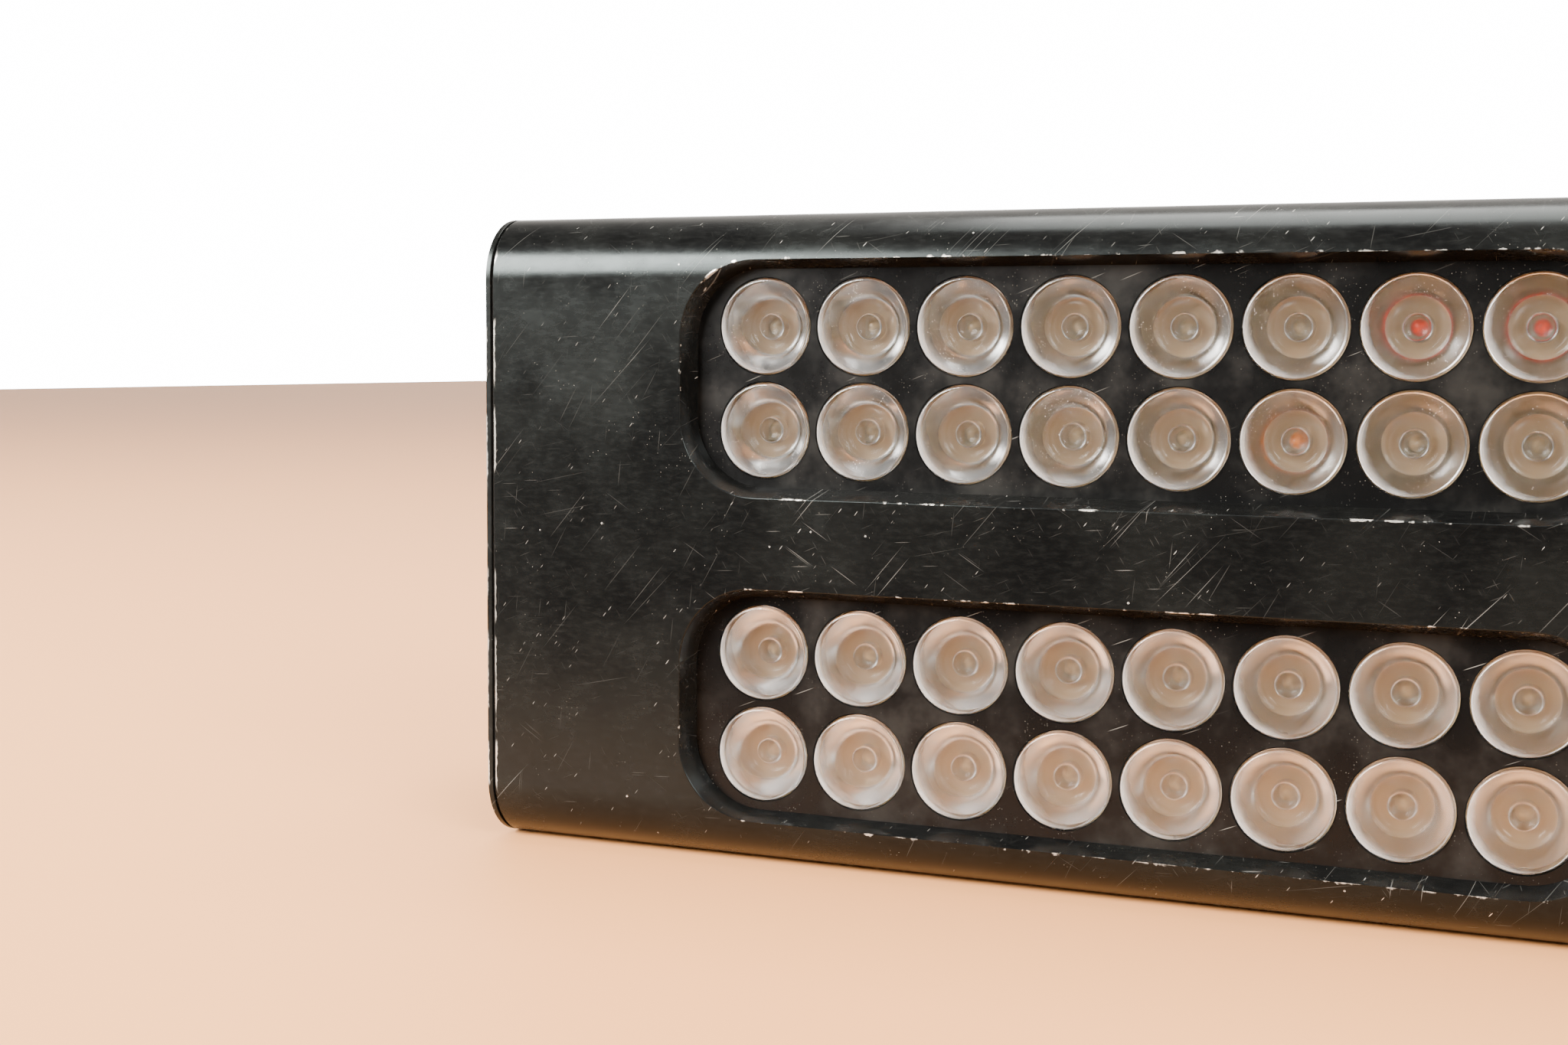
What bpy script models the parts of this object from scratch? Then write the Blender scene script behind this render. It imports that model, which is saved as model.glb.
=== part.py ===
"""LED wash luminaire standing on its long base: an extruded aluminium body with two lens
windows, end plates, a tilt yoke folded back behind it and a rear connector panel.

Metres, +Z up, the lenses face -Y. The origin lies on the base face, straight under the
tilt axis and midway between the two ends.
"""
import math

import bmesh
import bpy
from mathutils import Matrix, Vector

# Lenses: a square grid, split over two windows
LENS_PITCH = 0.024
LENS_COLUMNS = 8
LENS_RADIUS = 0.0108
LENS_SIDES = 12
WINDOW_OFFSET = 0.038            # window centre above and below mid-height
ROW_OFFSETS = (-LENS_PITCH / 2, LENS_PITCH / 2)

# Body extrusion, seen along X
BODY_LENGTH = 0.3055
BODY_HEIGHT = 0.1524
BODY_FRONT = -0.066
BODY_REAR = 0.046
CORNER_RADIUS = 0.0150
INNER_CORNER_RADIUS = 0.0044
REAR_EDGE_RADIUS = 0.002
FRONT_WALL = 0.0056
SIDE_WALL = 0.003
WINDOW_LENGTH = 0.206
WINDOW_HEIGHT = 0.0545
WINDOW_RADIUS = 0.0185
WINDOW_TAPER = 0.002             # how far the window closes in through the front wall
RIB_DEPTH = 0.0025
RIB_HEIGHT = 0.0044
LIP_DEPTH = 0.0032
LIP_HEIGHT = 0.009

# Stack behind the windows, as Y planes
GAP = 0.0003
THIN_GAP = 0.0001
LENS_FACE = BODY_FRONT + 0.0048
PLATE_FRONT = BODY_FRONT + FRONT_WALL + 0.0002
PLATE_THICKNESS = 0.002
WEB_FRONT = PLATE_FRONT + PLATE_THICKNESS + 0.0002
WEB_THICKNESS = 0.0015
CONE_REAR = BODY_FRONT + 0.0165
CONE_REAR_RADIUS = 0.0048
CAVITY_RADIUS = 0.003
CAVITY_DEPTH = 0.003
BOARD_FRONT = CONE_REAR + GAP
BOARD_THICKNESS = 0.0016
PAD_FRONT = BOARD_FRONT + BOARD_THICKNESS + GAP
PAD_THICKNESS = 0.0006
SINK_FRONT = PAD_FRONT + PAD_THICKNESS + GAP
SINK_BASE = 0.004
FIN_REAR = -0.016
FIN_THICKNESS = 0.0016
FIN_PITCH = 0.012
FIN_COUNT = 23
TRAY_FRONT = FIN_REAR + GAP
TRAY_THICKNESS = 0.0015

# Ends
GASKET_THICKNESS = 0.0006
GASKET_INSET = 0.0006
END_PLATE_THICKNESS = 0.0014
END_SCREW_YZ = ((-0.0536, 0.0068), (-0.0536, BODY_HEIGHT - 0.0068),
                (0.034, 0.0068), (0.034, BODY_HEIGHT - 0.0068))
END_BOSS_RADIUS = 0.0042
LOW_HEAD = 0.0011                # end screws pass under the yoke's arms
FULL_HEAD = 0.0022
PLATE_FACE_X = BODY_LENGTH / 2 + 2 * THIN_GAP + GASKET_THICKNESS + END_PLATE_THICKNESS

# Tilt yoke and its pivots
PIVOT_Y = 0.0
PIVOT_Z = BODY_HEIGHT / 2
PIVOT_SIDES = 24
PIVOT_BOSS_RADIUS = 0.006
PIVOT_CLEARANCE = 0.00008
STUD_HOLE_RADIUS = 0.004
WASHER_RADIUS = 0.0165
WASHER_THICKNESS = 0.0015
YOKE_THICKNESS = 0.003
YOKE_WIDTH = 0.034
YOKE_REACH = 0.102               # tilt axis to the inside of the crossbar
YOKE_BEND_RADIUS = 0.009
ARM_INNER_X = PLATE_FACE_X + WASHER_THICKNESS + 2 * GAP
ARM_OUTER_X = ARM_INNER_X + YOKE_THICKNESS
KNOB_LENGTH = 0.021
KNOB_RADIUS = 0.0165
KNOB_LOBES = 6
KNOB_LOBE_DEPTH = 0.0013
CLAMP_HOLE_RADIUS = 0.00525
SLOT_X = 0.045
SLOT_LENGTH = 0.026
SLOT_WIDTH = 0.0066

# Rear panel and what it carries; the list places are centres as (x, z)
PANEL_FRONT = 0.0420
PANEL_THICKNESS = 0.002
PANEL_REAR = PANEL_FRONT + PANEL_THICKNESS
PANEL_LENGTH = BODY_LENGTH - 0.001
PANEL_EDGE = 0.0033              # panel edge above the base and below the top
PANEL_SCREW_XZ = ((-0.144, 0.0085), (0.0, 0.0085), (0.144, 0.0085),
                  (-0.144, BODY_HEIGHT - 0.0085), (0.0, BODY_HEIGHT - 0.0085),
                  (0.144, BODY_HEIGHT - 0.0085))
FITTING_FRONT = PANEL_REAR + GAP
FLANGE_THICKNESS = 0.0018
SOCKET_Z = 0.0345
POWER_INLET_X = -0.124
POWER_OUTLET_X = -0.082
DATA_INLET_X = 0.086
DATA_OUTLET_X = 0.122
POWER_FLANGE = (0.034, 0.027)
DATA_FLANGE = (0.026, 0.031)
FUSE_XZ = (-0.0555, 0.0265)
EARTH_XZ = (-0.0555, 0.0445)
DISPLAY_XZ = (0.010, 0.0395)
DISPLAY_SIZE = (0.048, 0.019)
BUTTON_Z = 0.0195
BUTTON_X = (-0.011, 0.003, 0.017, 0.031)
BUTTON_NAMES = ("mode", "down", "up", "enter")
BUTTON_RADIUS = 0.0041
BUTTON_TRAVEL = 0.0008
EYE_Z = 0.130
EYE_HOLE_RADIUS = 0.0065
VENT_ROWS = (0.071, 0.103)
VENT_SLOT = (0.0036, 0.022)
VENT_PITCH = 0.0105
VENT_COUNT = 23

# Inner electronics
LEAD_X = 0.114
LEAD_RADIUS = 0.0016
LEAD_Z = (0.056, 0.096)
CONTROL_BOARD_FRONT = 0.0335
SWITCH_REAR = 0.0384


def clear_scene():
    """Remove every object, so that the script always starts empty."""
    for thing in list(bpy.data.objects):
        bpy.data.objects.remove(thing, do_unlink=True)


def material(name, colour, roughness, metallic=0.0, alpha=1.0):
    """Make a Principled BSDF material."""
    made = bpy.data.materials.new(name)
    made.use_nodes = True
    shader = made.node_tree.nodes["Principled BSDF"]
    shader.inputs["Base Color"].default_value = (*colour, 1.0)
    shader.inputs["Roughness"].default_value = roughness
    shader.inputs["Metallic"].default_value = metallic
    shader.inputs["Alpha"].default_value = alpha
    made.diffuse_color = (*colour, alpha)
    return made


def at(axis, u, v, along):
    """Put plane coordinates u, v at a distance along the named axis."""
    if axis == "X":
        return Vector((along, u, v))
    if axis == "Y":
        return Vector((u, along, v))
    return Vector((u, v, along))


def arc(centre, radius, start, end, steps):
    """Points on an arc from start to end, in degrees, both ends included."""
    points = []
    for step in range(steps + 1):
        angle = math.radians(start + (end - start) * step / steps)
        points.append((centre[0] + radius * math.cos(angle), centre[1] + radius * math.sin(angle)))
    return points


def rounded_rectangle(centre, width, height, radius, steps=5):
    """Outline of a rectangle with round corners, counter-clockwise."""
    u, v = width / 2 - radius, height / 2 - radius
    points = []
    for quarter, (side_u, side_v) in enumerate(((1, 1), (-1, 1), (-1, -1), (1, -1))):
        corner = (centre[0] + side_u * u, centre[1] + side_v * v)
        points += arc(corner, radius, 90 * quarter, 90 * quarter + 90, steps)
    return points


def rectangle(centre, width, height):
    """Outline of a plain rectangle."""
    u, v = centre
    return [(u + width / 2, v + height / 2), (u - width / 2, v + height / 2),
            (u - width / 2, v - height / 2), (u + width / 2, v - height / 2)]


def circle(centre, radius, sides):
    """Outline of a round hole or rod."""
    return arc(centre, radius, 0, 360 * (sides - 1) / sides, sides - 1)


def loft(axis, *sections):
    """A closed solid through outlines of equal length, each given as (outline, along)."""
    solid = bmesh.new()
    rings = []
    for outline, along in sections:
        rings.append([solid.verts.new(at(axis, u, v, along)) for u, v in outline])
    for lower, upper in zip(rings, rings[1:]):
        for index, vertex in enumerate(lower):
            following = (index + 1) % len(lower)
            solid.faces.new((vertex, lower[following], upper[following], upper[index]))
    solid.faces.new(rings[0])
    solid.faces.new(rings[-1])
    bmesh.ops.recalc_face_normals(solid, faces=solid.faces)
    return solid


def prism(axis, outline, start, end):
    """A straight solid of one outline."""
    return loft(axis, (outline, start), (outline, end))


def box(low, high):
    """A block between two corners."""
    centre = ((low[1] + high[1]) / 2, (low[2] + high[2]) / 2)
    return prism("X", rectangle(centre, high[1] - low[1], high[2] - low[2]), low[0], high[0])


def turned(axis, centre, profile, sides):
    """A turned solid; the profile runs from axis to axis as (radius, along)."""
    solid = bmesh.new()
    rings = []
    for radius, along in profile:
        if radius == 0:
            rings.append([solid.verts.new(at(axis, *centre, along))] * sides)
        else:
            rings.append([solid.verts.new(at(axis, u, v, along))
                          for u, v in circle(centre, radius, sides)])
    for lower, upper in zip(rings, rings[1:]):
        for index in range(sides):
            following = (index + 1) % sides
            corners = [lower[index], lower[following], upper[following], upper[index]]
            solid.faces.new(list(dict.fromkeys(corners)))
    bmesh.ops.recalc_face_normals(solid, faces=solid.faces)
    return solid


def together(solids):
    """Put several solids in one mesh, as separate bodies."""
    mesh = bpy.data.meshes.new("together")
    result = bmesh.new()
    for solid in solids:
        solid.to_mesh(mesh)
        solid.free()
        result.from_mesh(mesh)
    bpy.data.meshes.remove(mesh)
    return result


def add(name, solid, finish, smooth=False):
    """Make the named object of a solid."""
    mesh = bpy.data.meshes.new(name)
    solid.to_mesh(mesh)
    solid.free()
    mesh.materials.append(finish)
    if smooth:
        mesh.shade_smooth()
        mesh.set_sharp_from_angle(angle=math.radians(35))
    made = bpy.data.objects.new(name, mesh)
    bpy.context.scene.collection.objects.link(made)
    return made


def combine(target, solid, operation):
    """Apply one exact Boolean to an object."""
    mesh = bpy.data.meshes.new("tool")
    solid.to_mesh(mesh)
    solid.free()
    tool = bpy.data.objects.new("tool", mesh)
    bpy.context.scene.collection.objects.link(tool)
    modifier = target.modifiers.new("boolean", "BOOLEAN")
    modifier.operation = operation
    modifier.solver = "EXACT"
    modifier.object = tool
    result = bpy.data.meshes.new_from_object(
        target.evaluated_get(bpy.context.evaluated_depsgraph_get()))
    target.modifiers.clear()
    spent = target.data
    result.name = target.name
    target.data = result
    bpy.data.meshes.remove(spent)
    bpy.data.objects.remove(tool, do_unlink=True)
    bpy.data.meshes.remove(mesh)


def cut(target, solids):
    """Cut solids out of an object."""
    combine(target, together(solids), "DIFFERENCE")


def fuse(target, solids):
    """Join solids to an object."""
    combine(target, together(solids), "UNION")


def put_origin(thing, point):
    """Move an object's origin to a point, leaving its shape where it is."""
    thing.data.transform(Matrix.Translation(-Vector(point)))
    thing.location = point


def lens_places(window_z):
    """Centres of one window's lenses as (x, z)."""
    first = -LENS_PITCH * (LENS_COLUMNS - 1) / 2
    return [(first + LENS_PITCH * column, window_z + row)
            for row in ROW_OFFSETS for column in range(LENS_COLUMNS)]


def body_outline(inset=0.0):
    """The body's outer outline as (y, z): large front corners, small rear ones."""
    front, rear = BODY_FRONT + inset, BODY_REAR - inset
    low, high = inset, BODY_HEIGHT - inset
    large, small = CORNER_RADIUS - inset, REAR_EDGE_RADIUS
    return (arc((rear - small, low + small), small, 0, -90, 2)
            + arc((front + large, low + large), large, -90, -180, 8)
            + arc((front + large, high - large), large, 180, 90, 8)
            + arc((rear - small, high - small), small, 90, 0, 2))


def extrusion_outline():
    """The extrusion's section as (y, z): a channel open to the rear, with ribs and lips."""
    wall = BODY_FRONT + FRONT_WALL
    floor, roof = SIDE_WALL, BODY_HEIGHT - SIDE_WALL
    radius = INNER_CORNER_RADIUS
    rib = SINK_FRONT + SINK_BASE + GAP
    lip = PANEL_FRONT - GAP
    upper = [(BODY_REAR, roof), (lip, roof), (lip, roof - LIP_HEIGHT),
             (lip - LIP_DEPTH, roof - LIP_HEIGHT), (lip - LIP_DEPTH, roof),
             (rib + RIB_DEPTH, roof), (rib + RIB_DEPTH, roof - RIB_HEIGHT),
             (rib, roof - RIB_HEIGHT), (rib, roof)]
    upper += arc((wall + radius, roof - radius), radius, 90, 180, 4)
    lower = [(y, floor + roof - z) for y, z in reversed(upper)]
    return body_outline() + upper + lower


def make_extrusion(finish):
    """The body channel with its windows, screw bosses and rear screw holes."""
    half = BODY_LENGTH / 2
    body = add("housing_extrusion", prism("X", extrusion_outline(), -half, half), finish)
    fuse(body, [prism("X", circle(place, END_BOSS_RADIUS, 12), -half, half)
                for place in END_SCREW_YZ])
    cut(body, [prism("X", circle(place, 0.0017, 8), -half - 0.001, half + 0.001)
               for place in END_SCREW_YZ])
    through = []
    for side in (-1, 1):
        centre = (0.0, PIVOT_Z + side * WINDOW_OFFSET)
        outer = rounded_rectangle(centre, WINDOW_LENGTH, WINDOW_HEIGHT, WINDOW_RADIUS, 8)
        inner = rounded_rectangle(centre, WINDOW_LENGTH - 2 * WINDOW_TAPER,
                                  WINDOW_HEIGHT - 2 * WINDOW_TAPER,
                                  WINDOW_RADIUS - WINDOW_TAPER, 8)
        through.append(loft("Y", (outer, BODY_FRONT - 0.002), (outer, BODY_FRONT),
                            (inner, BODY_FRONT + FRONT_WALL), (inner, PLATE_FRONT)))
    through += [prism("Y", circle(place, 0.0017, 8), PANEL_FRONT - 0.002 - LIP_DEPTH,
                      PANEL_FRONT) for place in PANEL_SCREW_XZ]
    cut(body, through)


def make_end(side, name, plate_finish, gasket_finish, screw_finish):
    """One end: gasket, end plate and its four screws."""
    inner = BODY_LENGTH / 2 + THIN_GAP
    mid = inner + GASKET_THICKNESS
    seat = mid + THIN_GAP
    pivot = (PIVOT_Y, PIVOT_Z)
    gasket = add(f"{name}_gasket", prism("X", body_outline(GASKET_INSET), side * inner,
                                         side * mid), gasket_finish)
    cut(gasket, [prism("X", rounded_rectangle((-0.010, PIVOT_Z), 0.092, 0.122, 0.008, 3),
                       side * (inner - 0.001), side * (mid + 0.001))]
        + [prism("X", circle(place, 0.0024, 8), side * (inner - 0.001), side * (mid + 0.001))
           for place in END_SCREW_YZ])
    plate = add(f"{name}_end_plate", prism("X", body_outline(), side * seat,
                                           side * PLATE_FACE_X), plate_finish)
    cut(plate, [prism("X", circle(pivot, PIVOT_BOSS_RADIUS + GAP, PIVOT_SIDES),
                      side * (seat - 0.001), side * (PLATE_FACE_X + 0.001))]
        + [prism("X", circle(place, 0.0024, 8), side * (seat - 0.001),
                 side * (PLATE_FACE_X + 0.001)) for place in END_SCREW_YZ])
    for number, place in enumerate(END_SCREW_YZ, 1):
        make_screw(f"{name}_end_screw_{number}", "X", place, side * (PLATE_FACE_X + GAP), side,
                   LOW_HEAD, 0.014, screw_finish)


def make_screw(name, axis, place, seat, outward, head, length, finish):
    """A button-head screw, its head on the seat and its shank going inwards."""
    profile = [(0, head), (0.0021, head * 0.86), (0.0037, head * 0.27), (0.0037, 0),
               (0.0014, 0), (0.0014, -length), (0, -length)]
    add(name, turned(axis, place, [(radius, seat + outward * along) for radius, along in profile],
                     12), finish, True)


def make_optics(window, window_z, materials):
    """One window's lens plate, two lens strips, LED board and thermal pad."""
    plate_height = WINDOW_HEIGHT + 0.0056
    plate = add(f"lens_plate_{window}", prism(
        "Y", rounded_rectangle((0.0, window_z), WINDOW_LENGTH + 0.006, plate_height, 0.004, 2),
        PLATE_FRONT, PLATE_FRONT + PLATE_THICKNESS), materials["lens_plate"])
    cut(plate, [prism("Y", circle(place, LENS_RADIUS + GAP, LENS_SIDES), PLATE_FRONT - 0.001,
                      WEB_FRONT + 0.001) for place in lens_places(window_z)])
    for row, label in zip(ROW_OFFSETS, ("bottom", "top")):
        centre = (0.0, window_z + row)
        strip = add(f"lens_strip_{window}_{label}", prism(
            "Y", rectangle(centre, LENS_PITCH * LENS_COLUMNS + 0.004, LENS_PITCH - 0.0004),
            WEB_FRONT, WEB_FRONT + WEB_THICKNESS), materials["lens"])
        profile = [(0, LENS_FACE), (LENS_RADIUS, LENS_FACE), (LENS_RADIUS, WEB_FRONT + 0.0007),
                   (CONE_REAR_RADIUS, CONE_REAR), (CAVITY_RADIUS, CONE_REAR),
                   (CAVITY_RADIUS, CONE_REAR - CAVITY_DEPTH), (0, CONE_REAR - CAVITY_DEPTH)]
        fuse(strip, [turned("Y", place, profile, LENS_SIDES)
                     for place in lens_places(window_z) if math.isclose(place[1], centre[1])])
    board_height = 2 * LENS_PITCH + 0.003
    board = add(f"led_board_{window}", prism(
        "Y", rectangle((0.004, window_z), 0.208, board_height), BOARD_FRONT,
        BOARD_FRONT + BOARD_THICKNESS), materials["board_white"])
    lead_z = LEAD_Z[0] if window == "lower" else LEAD_Z[1]
    parts = [prism("Y", rectangle(place, 0.0032, 0.0032), BOARD_FRONT - 0.0018,
                   BOARD_FRONT + 0.0005) for place in lens_places(window_z)]
    parts.append(box((0.0985, BOARD_FRONT - 0.0055, lead_z - 0.004),
                     (0.1045, BOARD_FRONT + 0.0005, lead_z + 0.004)))
    fuse(board, parts)
    add(f"thermal_pad_{window}", prism("Y", rectangle((0.004, window_z), 0.206,
                                                      board_height - 0.002),
                                       PAD_FRONT, PAD_FRONT + PAD_THICKNESS), materials["pad"])


def make_lead(name, lead_z, finish):
    """A two-core lead from the driver board, through the heat sink, to an LED board."""
    bend = 0.006
    end_y = BOARD_FRONT - 0.003
    start_y = -0.0082
    corner = (LEAD_X - bend, end_y + bend)
    route = [(LEAD_X, start_y), (LEAD_X, (start_y + end_y + bend) / 2)]
    route += arc(corner, bend, 0, -90, 5) + [(0.1045 + GAP, end_y)]
    solid = bmesh.new()
    rings = []
    for index, (x, y) in enumerate(route):
        before = Vector(route[max(index - 1, 0)])
        after = Vector(route[min(index + 1, len(route) - 1)])
        way = (after - before).normalized()
        side = Vector((way.y, -way.x))
        rings.append([solid.verts.new((x + side.x * u, y + side.y * u, lead_z + v))
                      for u, v in circle((0, 0), LEAD_RADIUS, 8)])
    for lower, upper in zip(rings, rings[1:]):
        for index in range(8):
            following = (index + 1) % 8
            solid.faces.new((lower[index], lower[following], upper[following], upper[index]))
    solid.faces.new(rings[0])
    solid.faces.new(rings[-1])
    bmesh.ops.recalc_face_normals(solid, faces=solid.faces)
    add(name, solid, finish, True)


def make_heat_sink(finish):
    """A base plate with vertical fins, and two holes for the LED leads."""
    half = FIN_PITCH * (FIN_COUNT - 1) / 2 + 0.004
    base_rear = SINK_FRONT + SINK_BASE
    outline = [(half, SINK_FRONT), (half, base_rear)]
    for fin in reversed(range(FIN_COUNT)):
        x = FIN_PITCH * (fin - (FIN_COUNT - 1) / 2)
        outline += [(x + FIN_THICKNESS / 2, base_rear), (x + FIN_THICKNESS / 2, FIN_REAR),
                    (x - FIN_THICKNESS / 2, FIN_REAR), (x - FIN_THICKNESS / 2, base_rear)]
    outline += [(-half, base_rear), (-half, SINK_FRONT)]
    sink = add("heat_sink", prism("Z", outline, SIDE_WALL + GAP, BODY_HEIGHT - SIDE_WALL - GAP),
               finish)
    relief = RIB_HEIGHT + GAP + 0.0003
    keepers = [box((-half - 0.001, base_rear, SIDE_WALL),
                   (half + 0.001, FIN_REAR + 0.001, SIDE_WALL + relief)),
               box((-half - 0.001, base_rear, BODY_HEIGHT - SIDE_WALL - relief),
                   (half + 0.001, FIN_REAR + 0.001, BODY_HEIGHT - SIDE_WALL))]
    holes = [prism("Y", circle((LEAD_X, z), 0.003, 8), SINK_FRONT - 0.001, base_rear + 0.001)
             for z in LEAD_Z]
    cut(sink, keepers + holes)


def make_electronics(materials):
    """Tray, power supply, driver board and control board inside the body."""
    tray_rear = TRAY_FRONT + TRAY_THICKNESS
    tray = add("component_tray", box((-0.134, TRAY_FRONT, 0.050), (0.134, tray_rear, 0.140)),
               materials["bare_metal"])
    cut(tray, [prism("Y", circle((LEAD_X, z), 0.003, 8), TRAY_FRONT - 0.001, tray_rear + 0.001)
               for z in LEAD_Z])
    supply = add("power_supply", box((-0.128, tray_rear + GAP, 0.056), (-0.008, 0.026, 0.124)),
                 materials["bare_metal"])
    fuse(supply, [box((-0.0085, tray_rear + GAP, 0.060), (0.002, 0.010, 0.116))])
    board_front = -0.0079
    driver = add("driver_board", box((0.010, board_front, 0.0505), (0.128, -0.0063, 0.108)),
                 materials["board_green"])
    posts = [prism("Y", circle((x, z), 0.003, 6), tray_rear + GAP, board_front + 0.0005)
             for x in (0.016, 0.108) for z in (0.0565, 0.102)]
    chips = [box((0.024 + 0.021 * number, -0.0068, 0.064), (0.038 + 0.021 * number, 0.003, 0.078))
             for number in range(4)]
    coils = [prism("Y", circle((0.031 + 0.021 * number, 0.092), 0.006, 8), -0.0068, 0.009)
             for number in range(4)]
    fuse(driver, posts + chips + coils)
    rear = CONTROL_BOARD_FRONT + 0.0016
    control = add("control_board", box((-0.030, CONTROL_BOARD_FRONT, 0.0125),
                                       (0.048, rear, 0.0515)), materials["board_green"])
    x, z = DISPLAY_XZ
    parts = [box((x - 0.0225, rear - 0.0005, z - 0.0085), (x + 0.0225, 0.0416, z + 0.0085))]
    parts += [box((button - 0.003, rear - 0.0005, BUTTON_Z - 0.003),
                  (button + 0.003, SWITCH_REAR, BUTTON_Z + 0.003)) for button in BUTTON_X]
    fuse(control, parts)


def make_rear_panel(materials):
    """The rear panel with every cut-out, its screws and the display glazing."""
    height = BODY_HEIGHT - 2 * PANEL_EDGE
    panel = add("rear_panel", prism("Y", rectangle((0.0, PIVOT_Z), PANEL_LENGTH, height),
                                    PANEL_FRONT, PANEL_REAR), materials["black_paint"])
    holes = [circle(place, 0.0021, 8) for place in PANEL_SCREW_XZ]
    holes += [rectangle((x, SOCKET_Z), 0.0286, 0.0206) for x in (POWER_INLET_X, POWER_OUTLET_X)]
    holes += [circle((x, SOCKET_Z), 0.0121, 16) for x in (DATA_INLET_X, DATA_OUTLET_X)]
    holes += [circle(FUSE_XZ, 0.0066, 12), circle(EARTH_XZ, 0.0026, 8)]
    holes += [rectangle(DISPLAY_XZ, DISPLAY_SIZE[0] + 0.0006, DISPLAY_SIZE[1] + 0.0006)]
    holes += [circle((x, BUTTON_Z), BUTTON_RADIUS + GAP, 12) for x in BUTTON_X]
    for row in VENT_ROWS:
        for slot in range(VENT_COUNT):
            x = VENT_PITCH * (slot - (VENT_COUNT - 1) / 2)
            holes.append(rectangle((x, row), *VENT_SLOT))
    cut(panel, [prism("Y", hole, PANEL_FRONT - 0.001, PANEL_REAR + 0.001) for hole in holes])
    for number, place in enumerate(PANEL_SCREW_XZ, 1):
        make_screw(f"rear_panel_screw_{number}", "Y", place, FITTING_FRONT, 1, FULL_HEAD,
                   0.0055, materials["screw"])
    add("display_window", prism("Y", rectangle(DISPLAY_XZ, *DISPLAY_SIZE), PANEL_FRONT + 0.0001,
                                PANEL_REAR + 0.0004), materials["clear"])


def make_buttons(finish):
    """Four menu buttons, each pressed in along -Y."""
    for name, x in zip(BUTTON_NAMES, BUTTON_X):
        tip = PANEL_REAR + 0.0024
        shoulder = PANEL_FRONT - GAP
        inner = SWITCH_REAR + BUTTON_TRAVEL + GAP
        profile = [(0, tip), (BUTTON_RADIUS - 0.0006, tip), (BUTTON_RADIUS, tip - 0.0006),
                   (BUTTON_RADIUS, shoulder), (BUTTON_RADIUS + 0.0011, shoulder),
                   (BUTTON_RADIUS + 0.0011, shoulder - 0.001), (0.002, shoulder - 0.001),
                   (0.002, inner), (0, inner)]
        button = add(f"button_{name}", turned("Y", (x, BUTTON_Z), profile, 12), finish, True)
        put_origin(button, (x, PANEL_REAR, BUTTON_Z))


def make_power_sockets(materials):
    """Mains inlet with three blades in a recess, and mains outlet with three slots."""
    rear = FITTING_FRONT + FLANGE_THICKNESS
    for name, x in (("power_inlet", POWER_INLET_X), ("power_outlet", POWER_OUTLET_X)):
        flange = rounded_rectangle((x, SOCKET_Z), *POWER_FLANGE, 0.003, 2)
        socket = add(name, prism("Y", flange, FITTING_FRONT, rear), materials["socket"])
        fuse(socket, [prism("Y", rectangle((x, SOCKET_Z), 0.028, 0.020), 0.0225,
                            FITTING_FRONT + 0.0005)])
        blades = ((x - 0.007, SOCKET_Z - 0.0015), (x, SOCKET_Z + 0.0025),
                  (x + 0.007, SOCKET_Z - 0.0015))
        if name == "power_inlet":
            recess = rounded_rectangle((x, SOCKET_Z), 0.0242, 0.0164, 0.0035, 2)
            cut(socket, [prism("Y", recess, 0.0305, rear + 0.001)])
            fuse(socket, [prism("Y", rectangle(blade, 0.002, 0.004), 0.030, 0.0395)
                          for blade in blades])
        else:
            cut(socket, [prism("Y", rectangle(blade, 0.0026, 0.0054), 0.0315, rear + 0.001)
                         for blade in blades])


def make_data_sockets(materials):
    """Round data inlet with pins, data outlet with contact holes, and its push latch."""
    rear = FITTING_FRONT + FLANGE_THICKNESS
    for name, x in (("data_inlet", DATA_INLET_X), ("data_outlet", DATA_OUTLET_X)):
        flange = rounded_rectangle((x, SOCKET_Z), *DATA_FLANGE, 0.002, 2)
        socket = add(name, prism("Y", flange, FITTING_FRONT, rear), materials["socket"])
        fuse(socket, [prism("Y", circle((x, SOCKET_Z), 0.0118, 16), 0.0225,
                            FITTING_FRONT + 0.0005)])
        contacts = [(x + 0.0052 * math.cos(angle), SOCKET_Z + 0.0052 * math.sin(angle))
                    for angle in (math.radians(-90), math.radians(18), math.radians(162))]
        if name == "data_inlet":
            cut(socket, [prism("Y", circle((x, SOCKET_Z), 0.0094, 16), 0.0305, rear + 0.001)])
            fuse(socket, [prism("Y", circle(contact, 0.0012, 6), 0.030, 0.0405)
                          for contact in contacts])
        else:
            cut(socket, [prism("Y", circle(contact, 0.0016, 6), 0.0315, rear + 0.001)
                         for contact in contacts]
                + [box((x - 0.0034, FITTING_FRONT - 0.003, SOCKET_Z + 0.0080),
                       (x + 0.0034, rear + 0.001, SOCKET_Z + 0.0114))])
            latch = add("data_latch", box((x - 0.0030, FITTING_FRONT - 0.0005, SOCKET_Z + 0.0083),
                                          (x + 0.0030, rear + 0.0022, SOCKET_Z + 0.0111)),
                        materials["bright"])
            put_origin(latch, (x, rear, SOCKET_Z + 0.0097))


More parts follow.
